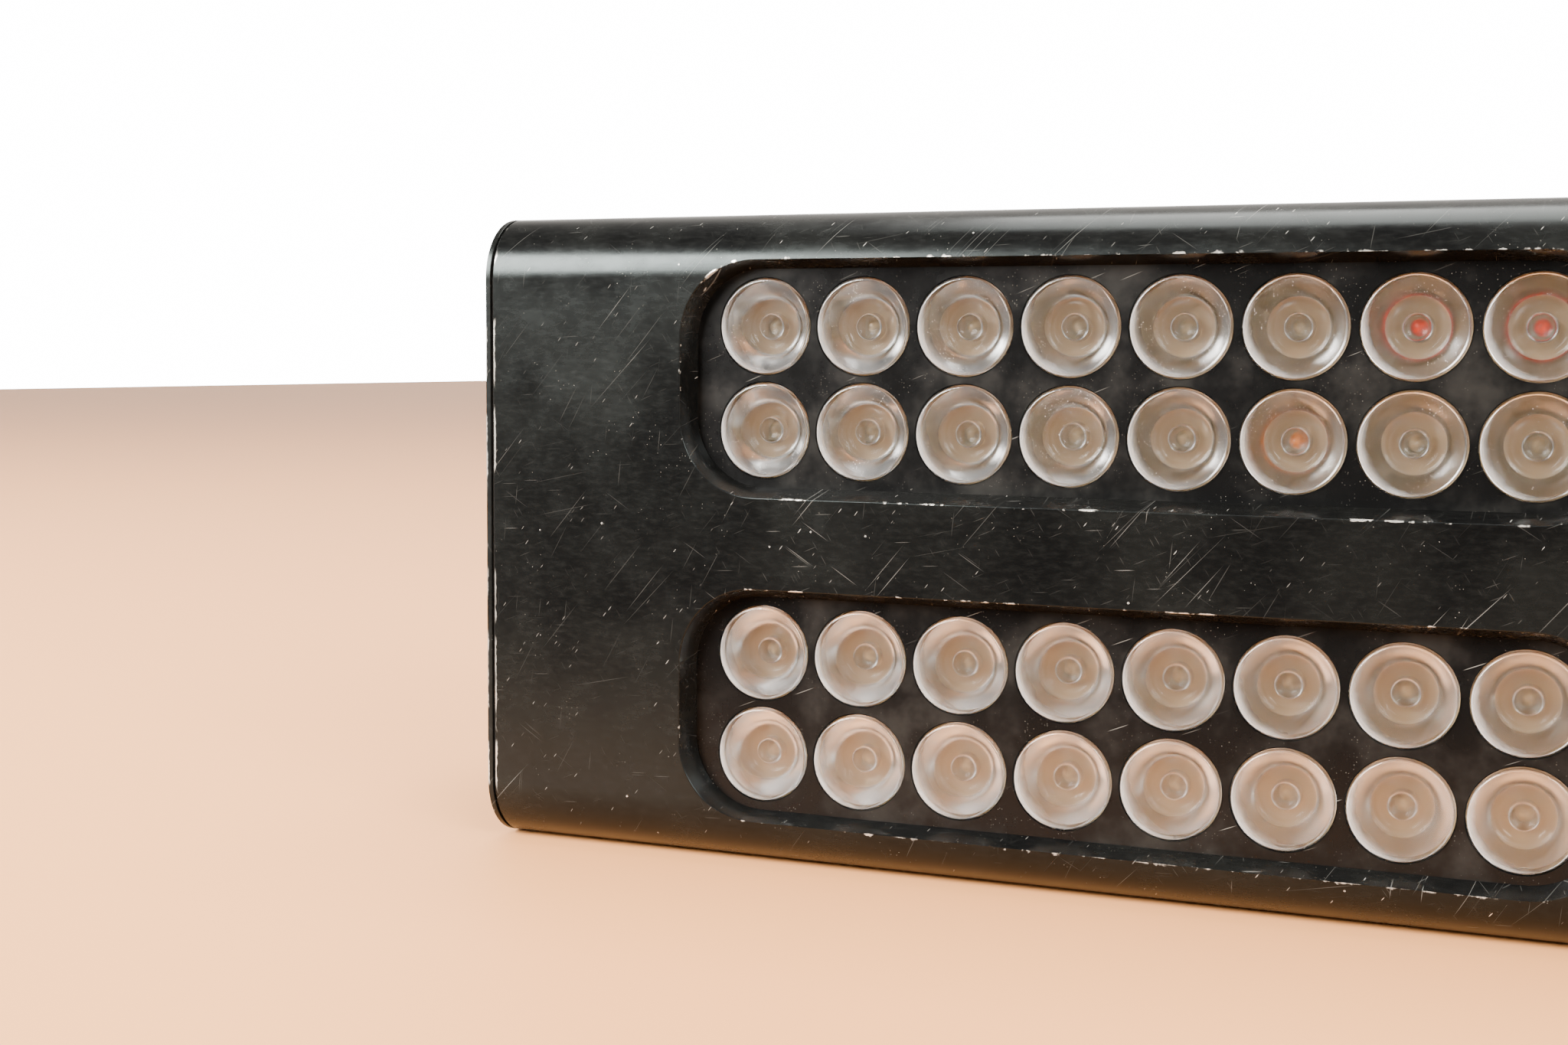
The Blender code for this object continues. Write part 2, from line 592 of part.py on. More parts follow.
def make_small_fittings(materials):
    """Fuse holder and cap, earth stud and safety eye."""
    inner_end = 0.0195
    holder = [(0, inner_end), (0.0062, inner_end), (0.0062, FITTING_FRONT),
              (0.0086, FITTING_FRONT), (0.0086, FITTING_FRONT + 0.0015),
              (0.00508, FITTING_FRONT + 0.0015), (0.00508, inner_end + 0.002),
              (0, inner_end + 0.002)]
    add("fuse_holder", turned("Y", FUSE_XZ, holder, PIVOT_SIDES), materials["socket"], True)
    seat = FITTING_FRONT + 0.0015 + GAP
    cap_profile = [(0, seat + 0.0042), (0.0062, seat + 0.0042), (0.0070, seat + 0.0034),
                   (0.0070, seat), (0.005, seat), (0.005, inner_end + 0.003),
                   (0, inner_end + 0.003)]
    cap = add("fuse_cap", turned("Y", FUSE_XZ, cap_profile, PIVOT_SIDES), materials["socket"],
              True)
    cut(cap, [box((FUSE_XZ[0] - 0.0048, seat + 0.0027, FUSE_XZ[1] - 0.0006),
                  (FUSE_XZ[0] + 0.0048, seat + 0.0052, FUSE_XZ[1] + 0.0006))])
    put_origin(cap, (FUSE_XZ[0], seat, FUSE_XZ[1]))
    earth = [(0, FITTING_FRONT + 0.0085), (0.002, FITTING_FRONT + 0.0085),
             (0.0023, FITTING_FRONT + 0.008), (0.0023, FITTING_FRONT + 0.0042),
             (0.0046, FITTING_FRONT + 0.0042), (0.0046, FITTING_FRONT),
             (0.0023, FITTING_FRONT), (0.0023, 0.038), (0, 0.038)]
    add("earth_stud", turned("Y", EARTH_XZ, earth, 6), materials["bright"])
    base = box((-0.012, FITTING_FRONT, EYE_Z - 0.0065), (0.012, FITTING_FRONT + 0.0025,
                                                         EYE_Z + 0.0065))
    eye = add("safety_eye", base, materials["black_steel"])
    hole = (FITTING_FRONT + 0.0115, EYE_Z)
    tongue = (arc(hole, 0.0105, -90, 90, 8)
              + [(FITTING_FRONT + 0.0015, EYE_Z + 0.0105 * 0.6),
                 (FITTING_FRONT + 0.0015, EYE_Z - 0.0105 * 0.6)])
    fuse(eye, [prism("X", tongue, -0.002, 0.002)])
    cut(eye, [prism("X", circle(hole, EYE_HOLE_RADIUS, 16), -0.003, 0.003)])


def yoke_outline():
    """The bent strip seen from above, as (x, y)."""
    start = PIVOT_Y - YOKE_WIDTH / 2
    inner, outer = PIVOT_Y + YOKE_REACH, PIVOT_Y + YOKE_REACH + YOKE_THICKNESS
    radius = YOKE_BEND_RADIUS
    outside = ([(ARM_OUTER_X, start)]
               + arc((ARM_OUTER_X - radius, outer - radius), radius, 0, 90, 6)
               + arc((radius - ARM_OUTER_X, outer - radius), radius, 90, 180, 6)
               + [(-ARM_OUTER_X, start)])
    radius -= YOKE_THICKNESS
    inside = ([(-ARM_INNER_X, start)]
              + arc((radius - ARM_INNER_X, inner - radius), radius, 180, 90, 6)
              + arc((ARM_INNER_X - radius, inner - radius), radius, 90, 0, 6)
              + [(ARM_INNER_X, start)])
    return outside + inside


def make_yoke(finish):
    """The U-bracket, folded back at rest, with pivot holes and clamp holes."""
    half = YOKE_WIDTH / 2
    yoke = add("yoke", prism("Z", yoke_outline(), PIVOT_Z - half, PIVOT_Z + half), finish)
    far = PIVOT_Y + YOKE_REACH + 0.01
    keep = arc((PIVOT_Y, PIVOT_Z), half, 90, 270, 12) + [(far, PIVOT_Z - half - 0.001),
                                                         (far, PIVOT_Z + half + 0.001)]
    combine(yoke, prism("X", keep, -ARM_OUTER_X - 0.01, ARM_OUTER_X + 0.01), "INTERSECT")
    hole = circle((PIVOT_Y, PIVOT_Z), PIVOT_BOSS_RADIUS + PIVOT_CLEARANCE, PIVOT_SIDES)
    bar = PIVOT_Y + YOKE_REACH
    across = [circle((0.0, PIVOT_Z), CLAMP_HOLE_RADIUS, 16)]
    across += [rounded_rectangle((side * SLOT_X, PIVOT_Z), SLOT_LENGTH, SLOT_WIDTH,
                                 SLOT_WIDTH / 2 - 0.0001, 3) for side in (-1, 1)]
    cut(yoke, [prism("X", hole, side * (ARM_INNER_X - 0.001), side * (ARM_OUTER_X + 0.001))
               for side in (-1, 1)]
        + [prism("Y", opening, bar - 0.001, bar + YOKE_THICKNESS + 0.001) for opening in across])
    put_origin(yoke, (0.0, PIVOT_Y, PIVOT_Z))


def make_pivot(side, name, materials):
    """One pivot: threaded insert, friction washer and tilt knob with its stud."""
    centre = (PIVOT_Y, PIVOT_Z)
    inner = BODY_LENGTH / 2
    tip = ARM_OUTER_X - GAP
    flange = inner + THIN_GAP + GASKET_THICKNESS
    insert = [(0, inner - 0.010), (0.0075, inner - 0.010), (0.0075, inner - 0.002),
              (0.0105, inner - 0.002), (0.0105, flange), (PIVOT_BOSS_RADIUS, flange),
              (PIVOT_BOSS_RADIUS, tip), (STUD_HOLE_RADIUS, tip),
              (STUD_HOLE_RADIUS, inner - 0.008), (0, inner - 0.008)]
    add(f"{name}_pivot_insert", turned("X", centre, [(radius, side * x) for radius, x in insert],
                                       PIVOT_SIDES), materials["bright"], True)
    washer = add(f"{name}_friction_washer", prism(
        "X", circle(centre, WASHER_RADIUS, PIVOT_SIDES), side * (PLATE_FACE_X + GAP),
        side * (ARM_INNER_X - GAP)), materials["fibre"])
    cut(washer, [prism("X", circle(centre, PIVOT_BOSS_RADIUS + GAP, PIVOT_SIDES),
                       side * (PLATE_FACE_X - 0.001), side * (ARM_INNER_X + 0.001))])
    seat = ARM_OUTER_X + GAP
    knob = add(f"{name}_tilt_knob", loft(
        "X", (lobed_outline(-0.0016), side * (seat + 0.004)), (lobed_outline(0), side * (seat + 0.0065)),
        (lobed_outline(0), side * (seat + KNOB_LENGTH - 0.003)),
        (lobed_outline(-0.003), side * (seat + KNOB_LENGTH))), materials["knob"], True)
    stud_radius = STUD_HOLE_RADIUS - PIVOT_CLEARANCE
    stem = [(0, inner - 0.006), (stud_radius, inner - 0.006), (stud_radius, seat),
            (0.0105, seat), (0.0105, seat + 0.005), (0, seat + 0.005)]
    fuse(knob, [turned("X", centre, [(radius, side * x) for radius, x in stem], PIVOT_SIDES)])
    put_origin(knob, (side * seat, PIVOT_Y, PIVOT_Z))


def lobed_outline(grow):
    """The knob's gripping outline as (y, z)."""
    sides = KNOB_LOBES * 6
    points = []
    for number in range(sides):
        angle = 2 * math.pi * number / sides
        radius = KNOB_RADIUS + grow + KNOB_LOBE_DEPTH * math.cos(KNOB_LOBES * angle)
        points.append((PIVOT_Y + radius * math.cos(angle), PIVOT_Z + radius * math.sin(angle)))
    return points


def make_materials():
    """Every finish, by name."""
    return {
        "anodised": material("black_anodised_aluminium", (0.016, 0.016, 0.017), 0.42, 0.3),
        "black_paint": material("black_powder_coat", (0.018, 0.018, 0.019), 0.55),
        "black_steel": material("black_coated_steel", (0.02, 0.02, 0.02), 0.5),
        "gasket": material("black_rubber", (0.01, 0.01, 0.01), 0.9),
        "lens_plate": material("lens_plate_black", (0.02, 0.02, 0.022), 0.5),
        "lens": material("clear_lens", (0.75, 0.74, 0.72), 0.1, 0.0, 0.5),
        "board_white": material("white_solder_mask", (0.75, 0.74, 0.68), 0.4),
        "board_green": material("green_board", (0.03, 0.16, 0.06), 0.45),
        "pad": material("grey_thermal_pad", (0.3, 0.32, 0.36), 0.8),
        "bare_metal": material("bare_aluminium", (0.6, 0.6, 0.6), 0.35, 1.0),
        "bright": material("nickel_plated", (0.62, 0.6, 0.56), 0.25, 1.0),
        "screw": material("black_oxide_screw", (0.03, 0.03, 0.03), 0.4, 0.6),
        "socket": material("moulded_black", (0.02, 0.02, 0.02), 0.45),
        "button": material("grey_button", (0.16, 0.16, 0.17), 0.6),
        "knob": material("knob_plastic", (0.018, 0.018, 0.018), 0.6),
        "fibre": material("fibre_washer", (0.22, 0.07, 0.03), 0.8),
        "clear": material("display_glazing", (0.2, 0.26, 0.25), 0.08, 0.0, 0.5),
        "lead": material("white_lead", (0.6, 0.58, 0.54), 0.5),
    }


def main():
    """Build the whole luminaire."""
    clear_scene()
    materials = make_materials()
    make_extrusion(materials["anodised"])
    for side, name in ((-1, "left"), (1, "right")):
        make_end(side, name, materials["anodised"], materials["gasket"], materials["screw"])
        make_pivot(side, name, materials)
    make_optics("upper", PIVOT_Z + WINDOW_OFFSET, materials)
    make_optics("lower", PIVOT_Z - WINDOW_OFFSET, materials)
    make_heat_sink(materials["bare_metal"])
    make_lead("led_lead_lower", LEAD_Z[0], materials["lead"])
    make_lead("led_lead_upper", LEAD_Z[1], materials["lead"])
    make_electronics(materials)
    make_rear_panel(materials)
    make_buttons(materials["button"])
    make_power_sockets(materials)
    make_data_sockets(materials)
    make_small_fittings(materials)
    make_yoke(materials["black_steel"])


if __name__ == "__main__":
    main()
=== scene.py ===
"""The looks of a compact LED wash luminaire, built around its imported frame.

Each sub-assembly is a class that holds its sizes, builds its meshes and dresses them. The
places of the pieces come from the frame's nodes, so that nothing is fitted by eye.
"""
from __future__ import annotations

import logging
import math
from dataclasses import dataclass, field
from enum import Enum
from typing import Any, Iterable, Sequence

import bmesh
import bpy
from mathutils import Matrix, Vector

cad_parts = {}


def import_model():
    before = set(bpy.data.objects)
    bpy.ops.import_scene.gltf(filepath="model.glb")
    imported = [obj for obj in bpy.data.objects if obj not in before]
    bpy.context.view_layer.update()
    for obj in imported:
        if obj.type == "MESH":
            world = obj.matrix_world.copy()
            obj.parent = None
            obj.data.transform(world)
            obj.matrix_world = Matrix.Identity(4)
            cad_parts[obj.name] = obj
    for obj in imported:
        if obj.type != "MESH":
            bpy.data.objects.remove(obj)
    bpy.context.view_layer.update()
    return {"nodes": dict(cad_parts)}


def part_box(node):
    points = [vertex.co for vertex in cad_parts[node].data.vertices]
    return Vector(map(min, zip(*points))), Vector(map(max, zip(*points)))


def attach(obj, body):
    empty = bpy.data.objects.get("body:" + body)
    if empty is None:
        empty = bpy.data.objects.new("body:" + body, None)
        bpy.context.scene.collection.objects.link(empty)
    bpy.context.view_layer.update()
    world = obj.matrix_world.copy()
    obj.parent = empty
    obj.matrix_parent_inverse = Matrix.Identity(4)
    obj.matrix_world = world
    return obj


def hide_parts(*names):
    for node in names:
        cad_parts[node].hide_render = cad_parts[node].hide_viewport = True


LOG = logging.getLogger("luminaire")
MM = 0.001
HOUSING = "housing"
SMOOTH_ANGLE = math.radians(32)
WAYS = ("inlet", "outlet")
BUTTONS = ("mode", "down", "up", "enter")
SIDES = (("left", -1), ("right", 1))       # each end with its outward direction along X

MATH = "ShaderNodeMath"
VECTOR = "ShaderNodeVectorMath"
NOISE = "ShaderNodeTexNoise"
RANGE = "ShaderNodeMapRange"
MAPPING = "ShaderNodeMapping"
MIX = "ShaderNodeMix"
BUMP = "ShaderNodeBump"
SMOOTH = {"interpolation_type": "SMOOTHSTEP"}
COLOUR = {"data_type": "RGBA"}
ADD, SUBTRACT, MULTIPLY, MAXIMUM, ABSOLUTE, LENGTH = (
    {"operation": name}
    for name in ("ADD", "SUBTRACT", "MULTIPLY", "MAXIMUM", "ABSOLUTE", "LENGTH"))
FACTOR, UNDER, OVER = 0, 6, 7              # a colour mix node's inputs
MIXED = 2                                  # and its output

Outline = Sequence[tuple[float, float]]
Colour = tuple[float, float, float, float]
Socket = bpy.types.NodeSocket


class Axis(Enum):
    """The direction that an outline is drawn across, or a profile is turned about."""

    X = "X"
    Y = "Y"
    Z = "Z"

    def point(self, u: float, v: float, along: float) -> Vector:
        """Place plane coordinates at a distance along this axis.

        Args:
            u: The first plane coordinate.
            v: The second plane coordinate.
            along: The distance along the axis.

        Returns:
            The place in space.
        """
        if self is Axis.X:
            return Vector((along, u, v))
        if self is Axis.Y:
            return Vector((u, along, v))
        return Vector((u, v, along))


class Emitter(Enum):
    """What an LED package looks like when it is off, as its phosphor or die colour."""

    WARM_WHITE = "#A08A66"
    RED = "#D9380C"
    AMBER = "#C9722E"


# ---------------------------------------------------------------- outlines and solids


def arc(centre: tuple[float, float], radius: float, start: float, end: float,
        steps: int) -> list[tuple[float, float]]:
    """Make points on an arc.

    Args:
        centre: The arc's centre.
        radius: Its radius in metres.
        start: Its first angle in degrees.
        end: Its last angle in degrees.
        steps: How many stretches it is divided into.

    Returns:
        The points, both ends included.
    """
    angles = [math.radians(start + (end - start) * step / steps) for step in range(steps + 1)]
    return [(centre[0] + radius * math.cos(a), centre[1] + radius * math.sin(a)) for a in angles]


def circle(centre: tuple[float, float], radius: float, sides: int) -> list[tuple[float, float]]:
    """Make a closed round outline.

    Args:
        centre: The circle's centre.
        radius: Its radius in metres.
        sides: How many points it has.

    Returns:
        The points, counter-clockwise.
    """
    return arc(centre, radius, 0, 360 * (sides - 1) / sides, sides - 1)


def rounded(centre: tuple[float, float], width: float, height: float, radius: float,
            steps: int = 8) -> list[tuple[float, float]]:
    """Make a rectangle with round corners.

    Args:
        centre: The rectangle's centre.
        width: Its whole width.
        height: Its whole height.
        radius: Its corners' radius.
        steps: How many stretches each corner has.

    Returns:
        The points, counter-clockwise.
    """
    points = []
    for turn, (u, v) in enumerate(((1, 1), (-1, 1), (-1, -1), (1, -1))):
        corner = (centre[0] + u * (width / 2 - radius), centre[1] + v * (height / 2 - radius))
        points += arc(corner, radius, 90 * turn, 90 * turn + 90, steps)
    return points


def loft(axis: Axis, sections: Sequence[tuple[Outline, float]]) -> bmesh.types.BMesh:
    """Join outlines of equal length into one closed solid.

    Args:
        axis: The axis that the outlines lie across.
        sections: Each outline with its place along the axis.

    Returns:
        The solid, its faces outwards.
    """
    solid = bmesh.new()
    rings = [[solid.verts.new(axis.point(u, v, along)) for u, v in outline]
             for outline, along in sections]
    for lower, upper in zip(rings, rings[1:]):
        for index, vertex in enumerate(lower):
            after = (index + 1) % len(lower)
            solid.faces.new((vertex, lower[after], upper[after], upper[index]))
    solid.faces.new(rings[0])
    solid.faces.new(rings[-1])
    bmesh.ops.recalc_face_normals(solid, faces=solid.faces)
    return solid


def prism(axis: Axis, outline: Outline, start: float, end: float) -> bmesh.types.BMesh:
    """Make a straight solid of one outline between two places along an axis."""
    return loft(axis, [(outline, start), (outline, end)])


def block(low: Sequence[float], high: Sequence[float], radius: float = 0.0) -> bmesh.types.BMesh:
    """Make a block between two corners, its edges along X rounded where a radius is given.

    Args:
        low: The lowest corner.
        high: The highest corner.
        radius: The rounding of the edges along X, or 0 for sharp ones.

    Returns:
        The closed solid.
    """
    centre = ((low[1] + high[1]) / 2, (low[2] + high[2]) / 2)
    size = (abs(high[1] - low[1]), abs(high[2] - low[2]))
    outline = rounded(centre, *size, max(radius, 1e-6), 4 if radius else 1)
    solid = prism(Axis.X, outline, low[0], high[0])
    bmesh.ops.remove_doubles(solid, verts=solid.verts, dist=5e-6)
    return solid


def turned(axis: Axis, centre: tuple[float, float], profile: Sequence[tuple[float, float]],
           sides: int = 64) -> bmesh.types.BMesh:
    """Turn a profile about an axis.

    Args:
        axis: The axis to turn about.
        centre: Where the axis crosses its plane.
        profile: Points as radius and place along the axis.
        sides: How many stretches the turn has.

    Returns:
        The solid, closed where the profile ends on the axis.
    """
    solid = bmesh.new()
    rings = []
    for radius, along in profile:
        if radius == 0:
            rings.append([solid.verts.new(axis.point(*centre, along))] * sides)
        else:
            rings.append([solid.verts.new(axis.point(u, v, along))
                          for u, v in circle(centre, radius, sides)])
    for lower, upper in zip(rings, rings[1:]):
        for index in range(sides):
            after = (index + 1) % sides
            ring = [lower[index], lower[after], upper[after], upper[index]]
            corners = list(dict.fromkeys(ring))
            if len(corners) > 2:
                solid.faces.new(corners)
    bmesh.ops.recalc_face_normals(solid, faces=solid.faces)
    return solid


def rounded_profile(points: Sequence[tuple[float, float]], radius: float,
                    steps: int = 3) -> list[tuple[float, float]]:
    """Round the inner corners of a profile.

    Args:
        points: The profile's corners.
        radius: The rounding, shortened where a side is too short for it.
        steps: How many stretches each rounding has.

    Returns:
        The profile with a curve at each corner except its two ends.
    """
    result = [tuple(points[0])]
    for before, corner, after in zip(points, points[1:], points[2:]):
        here = Vector(corner)
        back, ahead = Vector(before) - here, Vector(after) - here
        reach = min(radius, back.length * 0.45, ahead.length * 0.45)
        start, end = here + back.normalized() * reach, here + ahead.normalized() * reach
        for step in range(steps + 1):
            t = step / steps
            spot = start * (1 - t) ** 2 + here * (2 * t * (1 - t)) + end * t ** 2
            result.append((max(spot.x, 0.0), spot.y))
    return result + [tuple(points[-1])]


def joined(solids: Iterable[bmesh.types.BMesh]) -> bmesh.types.BMesh:
    """Put several solids in one mesh, as separate shells.

    Args:
        solids: The solids to put together, which are freed.

    Returns:
        The mesh that holds them all.
    """
    mesh = bpy.data.meshes.new("joined")
    result = bmesh.new()
    for solid in solids:
        solid.to_mesh(mesh)
        solid.free()
        result.from_mesh(mesh)
    bpy.data.meshes.remove(mesh)
    return result


# ---------------------------------------------------------------- objects and modifiers


def make_object(name: str, solid: bmesh.types.BMesh,
                material: bpy.types.Material | None = None) -> bpy.types.Object:
    """Make a named object of a solid, with one material.

    Args:
        name: The object's name.
        solid: The mesh to put in it, which is freed.
        material: Its one material, or None.

    Returns:
        The new object, at the origin.
    """
    mesh = bpy.data.meshes.new(name)
    solid.to_mesh(mesh)
    solid.free()
    if material:
        mesh.materials.append(material)
    made = bpy.data.objects.new(name, mesh)
    bpy.context.scene.collection.objects.link(made)
    return made


def settle(thing: bpy.types.Object) -> bpy.types.Object:
    """Turn an object's modifiers into plain mesh and remove them.

    Args:
        thing: The object whose modifiers are evaluated.

    Returns:
        The same object, with its final mesh.
    """
    graph = bpy.context.evaluated_depsgraph_get()
    graph.update()
    mesh = bpy.data.meshes.new_from_object(thing.evaluated_get(graph))
    thing.modifiers.clear()
    spent = thing.data
    mesh.name = thing.name
    thing.data = mesh
    bpy.data.meshes.remove(spent)
    return thing


def carve(thing: bpy.types.Object, tool: bmesh.types.BMesh,
          operation: str = "DIFFERENCE") -> bpy.types.Object:
    """Cut a solid out of an object, or join it, and keep the result as plain mesh.

    Args:
        thing: The object to change.
        tool: The solid to cut or join with.
        operation: The name of the Boolean operation.

    Returns:
        The same object, with its new mesh.
    """
    cutter = make_object("cutter", tool)
    modifier = thing.modifiers.new("carve", "BOOLEAN")
    modifier.operation = operation
    modifier.solver = "EXACT"
    modifier.object = cutter
    settle(thing)
    spent = cutter.data
    bpy.data.objects.remove(cutter)
    bpy.data.meshes.remove(spent)
    return thing


def as_solid(thing: bpy.types.Object) -> bmesh.types.BMesh:
    """Take an object's mesh as a solid and remove the object.

    Args:
        thing: The object to take, which is removed.

    Returns:
        Its mesh as a solid.
    """
    solid = bmesh.new()
    solid.from_mesh(thing.data)
    spent = thing.data
    bpy.data.objects.remove(thing)
    bpy.data.meshes.remove(spent)
    return solid


def polish(thing: bpy.types.Object, bevel: float = 0.0, segments: int = 2,
           angle: float = math.radians(40)) -> bpy.types.Object:
    """Round an object's sharp edges and shade it as a machined or moulded surface.

    Args:
        thing: The object, with no modifiers.
        bevel: The rounding's width in metres, or 0 for none.
        segments: How many stretches the rounding has.
        angle: Edges sharper than this are rounded.

    Returns:
        The same object, with plain mesh.
    """
    if bevel:
        modifier = thing.modifiers.new("bevel", "BEVEL")
        modifier.width = bevel
        modifier.segments = segments
        modifier.limit_method = "ANGLE"
        modifier.angle_limit = angle
        modifier.harden_normals = False
        settle(thing)
    thing.data.shade_smooth()
    thing.data.set_sharp_from_angle(angle=SMOOTH_ANGLE)
    weighted = thing.modifiers.new("weighted", "WEIGHTED_NORMAL")
    weighted.keep_sharp = True
    weighted.weight = 100
    return settle(thing)


def put(thing: bpy.types.Object, slot: str, *nodes: str, body: str = HOUSING) -> bpy.types.Object:
    """Hand a finished piece to the frame.

    Args:
        thing: The piece.
        slot: The name of a material slot; not used.
        nodes: The CAD nodes that it stands for.
        body: The CAD body that it rides on.

    Returns:
        The same piece.
    """
    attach(thing, body)
    if nodes:
        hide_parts(*nodes)
    LOG.info("%s rides on %s: %d faces", thing.name, body, len(thing.data.polygons))
    return thing


# ---------------------------------------------------------------- node trees


def linear(text: str) -> Colour:
    """Turn an sRGB hex colour into the linear colour that a socket holds.

    Args:
        text: The colour as a hash and six hex digits.

    Returns:
        The linear colour with full alpha.
    """
    channels = [int(text[index:index + 2], 16) / 255 for index in (1, 3, 5)]
    turned_linear = [c / 12.92 if c <= 0.04045 else ((c + 0.055) / 1.055) ** 2.4
                     for c in channels]
    return (*turned_linear, 1.0)


def add_node(tree: bpy.types.NodeTree, kind: str, settings: dict[str, Any] | None = None,
             inputs: dict[Any, Any] | None = None, output: int | str = 0) -> Socket:
    """Add a node with its settings and links.

    Args:
        tree: The tree that it goes into.
        kind: The node's type.
        settings: Its properties by name.
        inputs: Values or sockets for its inputs, by name or number.
        output: Which of its outputs to return.

    Returns:
        The output socket, or the node itself where it has none.
    """
    node = tree.nodes.new(kind)
    for name, value in (settings or {}).items():
        setattr(node, name, value)
    for key, value in (inputs or {}).items():
        if isinstance(value, bpy.types.NodeSocket):
            tree.links.new(value, node.inputs[key])
        else:
            node.inputs[key].default_value = value
    return node.outputs[output] if len(node.outputs) else node


@dataclass(frozen=True)
class Finish:
    """A surface finish. Its build method makes the material once, by name."""

    name: str
    colour: str
    roughness: float = 0.5
    metallic: float = 0.0

    def start(self) -> tuple[bpy.types.NodeTree, bpy.types.Node, Socket]:
        """Make an empty material.

        Returns:
            Its tree, its Principled shader and the object coordinates in millimetres.
        """
        made = bpy.data.materials.new(self.name)
        made.use_nodes = True
        tree = made.node_tree
        shader = tree.nodes["Principled BSDF"]
        shader.inputs["Base Color"].default_value = linear(self.colour)
        shader.inputs["Roughness"].default_value = self.roughness
        shader.inputs["Metallic"].default_value = self.metallic
        place = add_node(tree, "ShaderNodeTexCoord", output="Object")
        spot = add_node(tree, "ShaderNodeVectorMath", {"operation": "SCALE"},
                        {0: place, "Scale": 1 / MM})
        return tree, shader, spot

    def build(self) -> bpy.types.Material:
        """Return the material, made the first time it is asked for.

        Returns:
            The material, with its tree built.
        """
        known = bpy.data.materials.get(self.name)
        if known:
            return known
        tree, shader, spot = self.start()
        self.dress(tree, shader, spot)
        return bpy.data.materials[self.name]

    def dress(self, tree: bpy.types.NodeTree, shader: bpy.types.Node, spot: Socket) -> None:
        """Add this finish's own surface to its shader."""
        raise NotImplementedError


def scratches(tree: bpy.types.NodeTree, spot: Socket, angle: float, length: float,
              cover: float) -> Socket:
    """Draw fine straight scratches with tapered ends, as specks of a stretched space.

    A real one is some 0.1 mm wide, which doesn't show, so it is drawn 0.2 mm wide.

    Args:
        tree: The material's tree.
        spot: The coordinates in millimetres.
        angle: The scratches' direction in the XZ plane, in degrees.
        length: A scratch's length in millimetres.
        cover: How many of the places for one hold one, from 0 to 1.

    Returns:
        A mask, 1 on a scratch.
    """
    stretched = add_node(tree, MAPPING, {"vector_type": "TEXTURE"},
                         {"Vector": spot, "Rotation": (0.0, math.radians(-angle), 0.0),
                          "Scale": (length * 1.25, length * 1.25, 0.3)})
    broad = add_node(tree, NOISE, None, {"Vector": spot, "Scale": 0.02 + length * 0.0002,
                                         "Detail": 2.0, "Roughness": 0.55})
    zones = add_node(tree, RANGE, SMOOTH, {"Value": broad, "From Min": 0.45, "From Max": 0.6,
                                           "To Min": 0.25, "To Max": 1.0})
    marks = specks(tree, stretched, 1.0, 0.4, cover)
    return add_node(tree, MATH, MULTIPLY, {0: marks, 1: zones})


def specks(tree: bpy.types.NodeTree, spot: Socket, per_mm: float, size: float,
           cover: float) -> Socket:
    """Draw scattered specks.

    Args:
        tree: The material's tree.
        spot: The coordinates in millimetres.
        per_mm: How many cells there are in a millimetre.
        size: A speck's size as a part of its cell.
        cover: The part of the cells that hold one.

    Returns:
        A mask, 1 on a speck.
    """
    settings = {"distance": "EUCLIDEAN", "feature": "F1"}
    inputs = {"Vector": spot, "Scale": per_mm, "Randomness": 1.0}
    distance = add_node(tree, "ShaderNodeTexVoronoi", settings, inputs, "Distance")
    cell = add_node(tree, "ShaderNodeTexVoronoi", settings, inputs, "Color")
    chance = add_node(tree, "ShaderNodeSeparateColor", None, {0: cell})
    kept = add_node(tree, RANGE, SMOOTH, {"Value": chance, "From Min": 1 - cover - 0.01,
                                          "From Max": 1 - cover + 0.01})
    within = add_node(tree, RANGE, SMOOTH, {"Value": distance, "From Min": size * 0.5,
                                            "From Max": size, "To Min": 1.0, "To Max": 0.0})
    return add_node(tree, MATH, MULTIPLY, {0: within, 1: kept})


def coats(tree: bpy.types.NodeTree, base: Colour | Socket,
          layers: Iterable[tuple[Socket, float, Colour]]) -> Socket:
    """Lay thin coats of colour over a base, each through its own mask.

    Args:
        tree: The material's tree.
        base: The linear colour underneath.
        layers: For each coat its mask, its strength up to 1, and its linear colour.

    Returns:
        The colour that shows.
    """
    for mask, strength, colour in layers:
        if strength < 1:
            mask = add_node(tree, MATH, MULTIPLY, {0: mask, 1: strength})
        base = add_node(tree, MIX, COLOUR, {FACTOR: mask, UNDER: base, OVER: colour}, MIXED)
    return base


def feed(tree: bpy.types.NodeTree, shader: bpy.types.Node, links: dict[str, Socket]) -> None:
    """Link sockets to a shader's inputs by name."""
    for name, socket in links.items():
        tree.links.new(socket, shader.inputs[name])


# ---------------------------------------------------------------- finishes


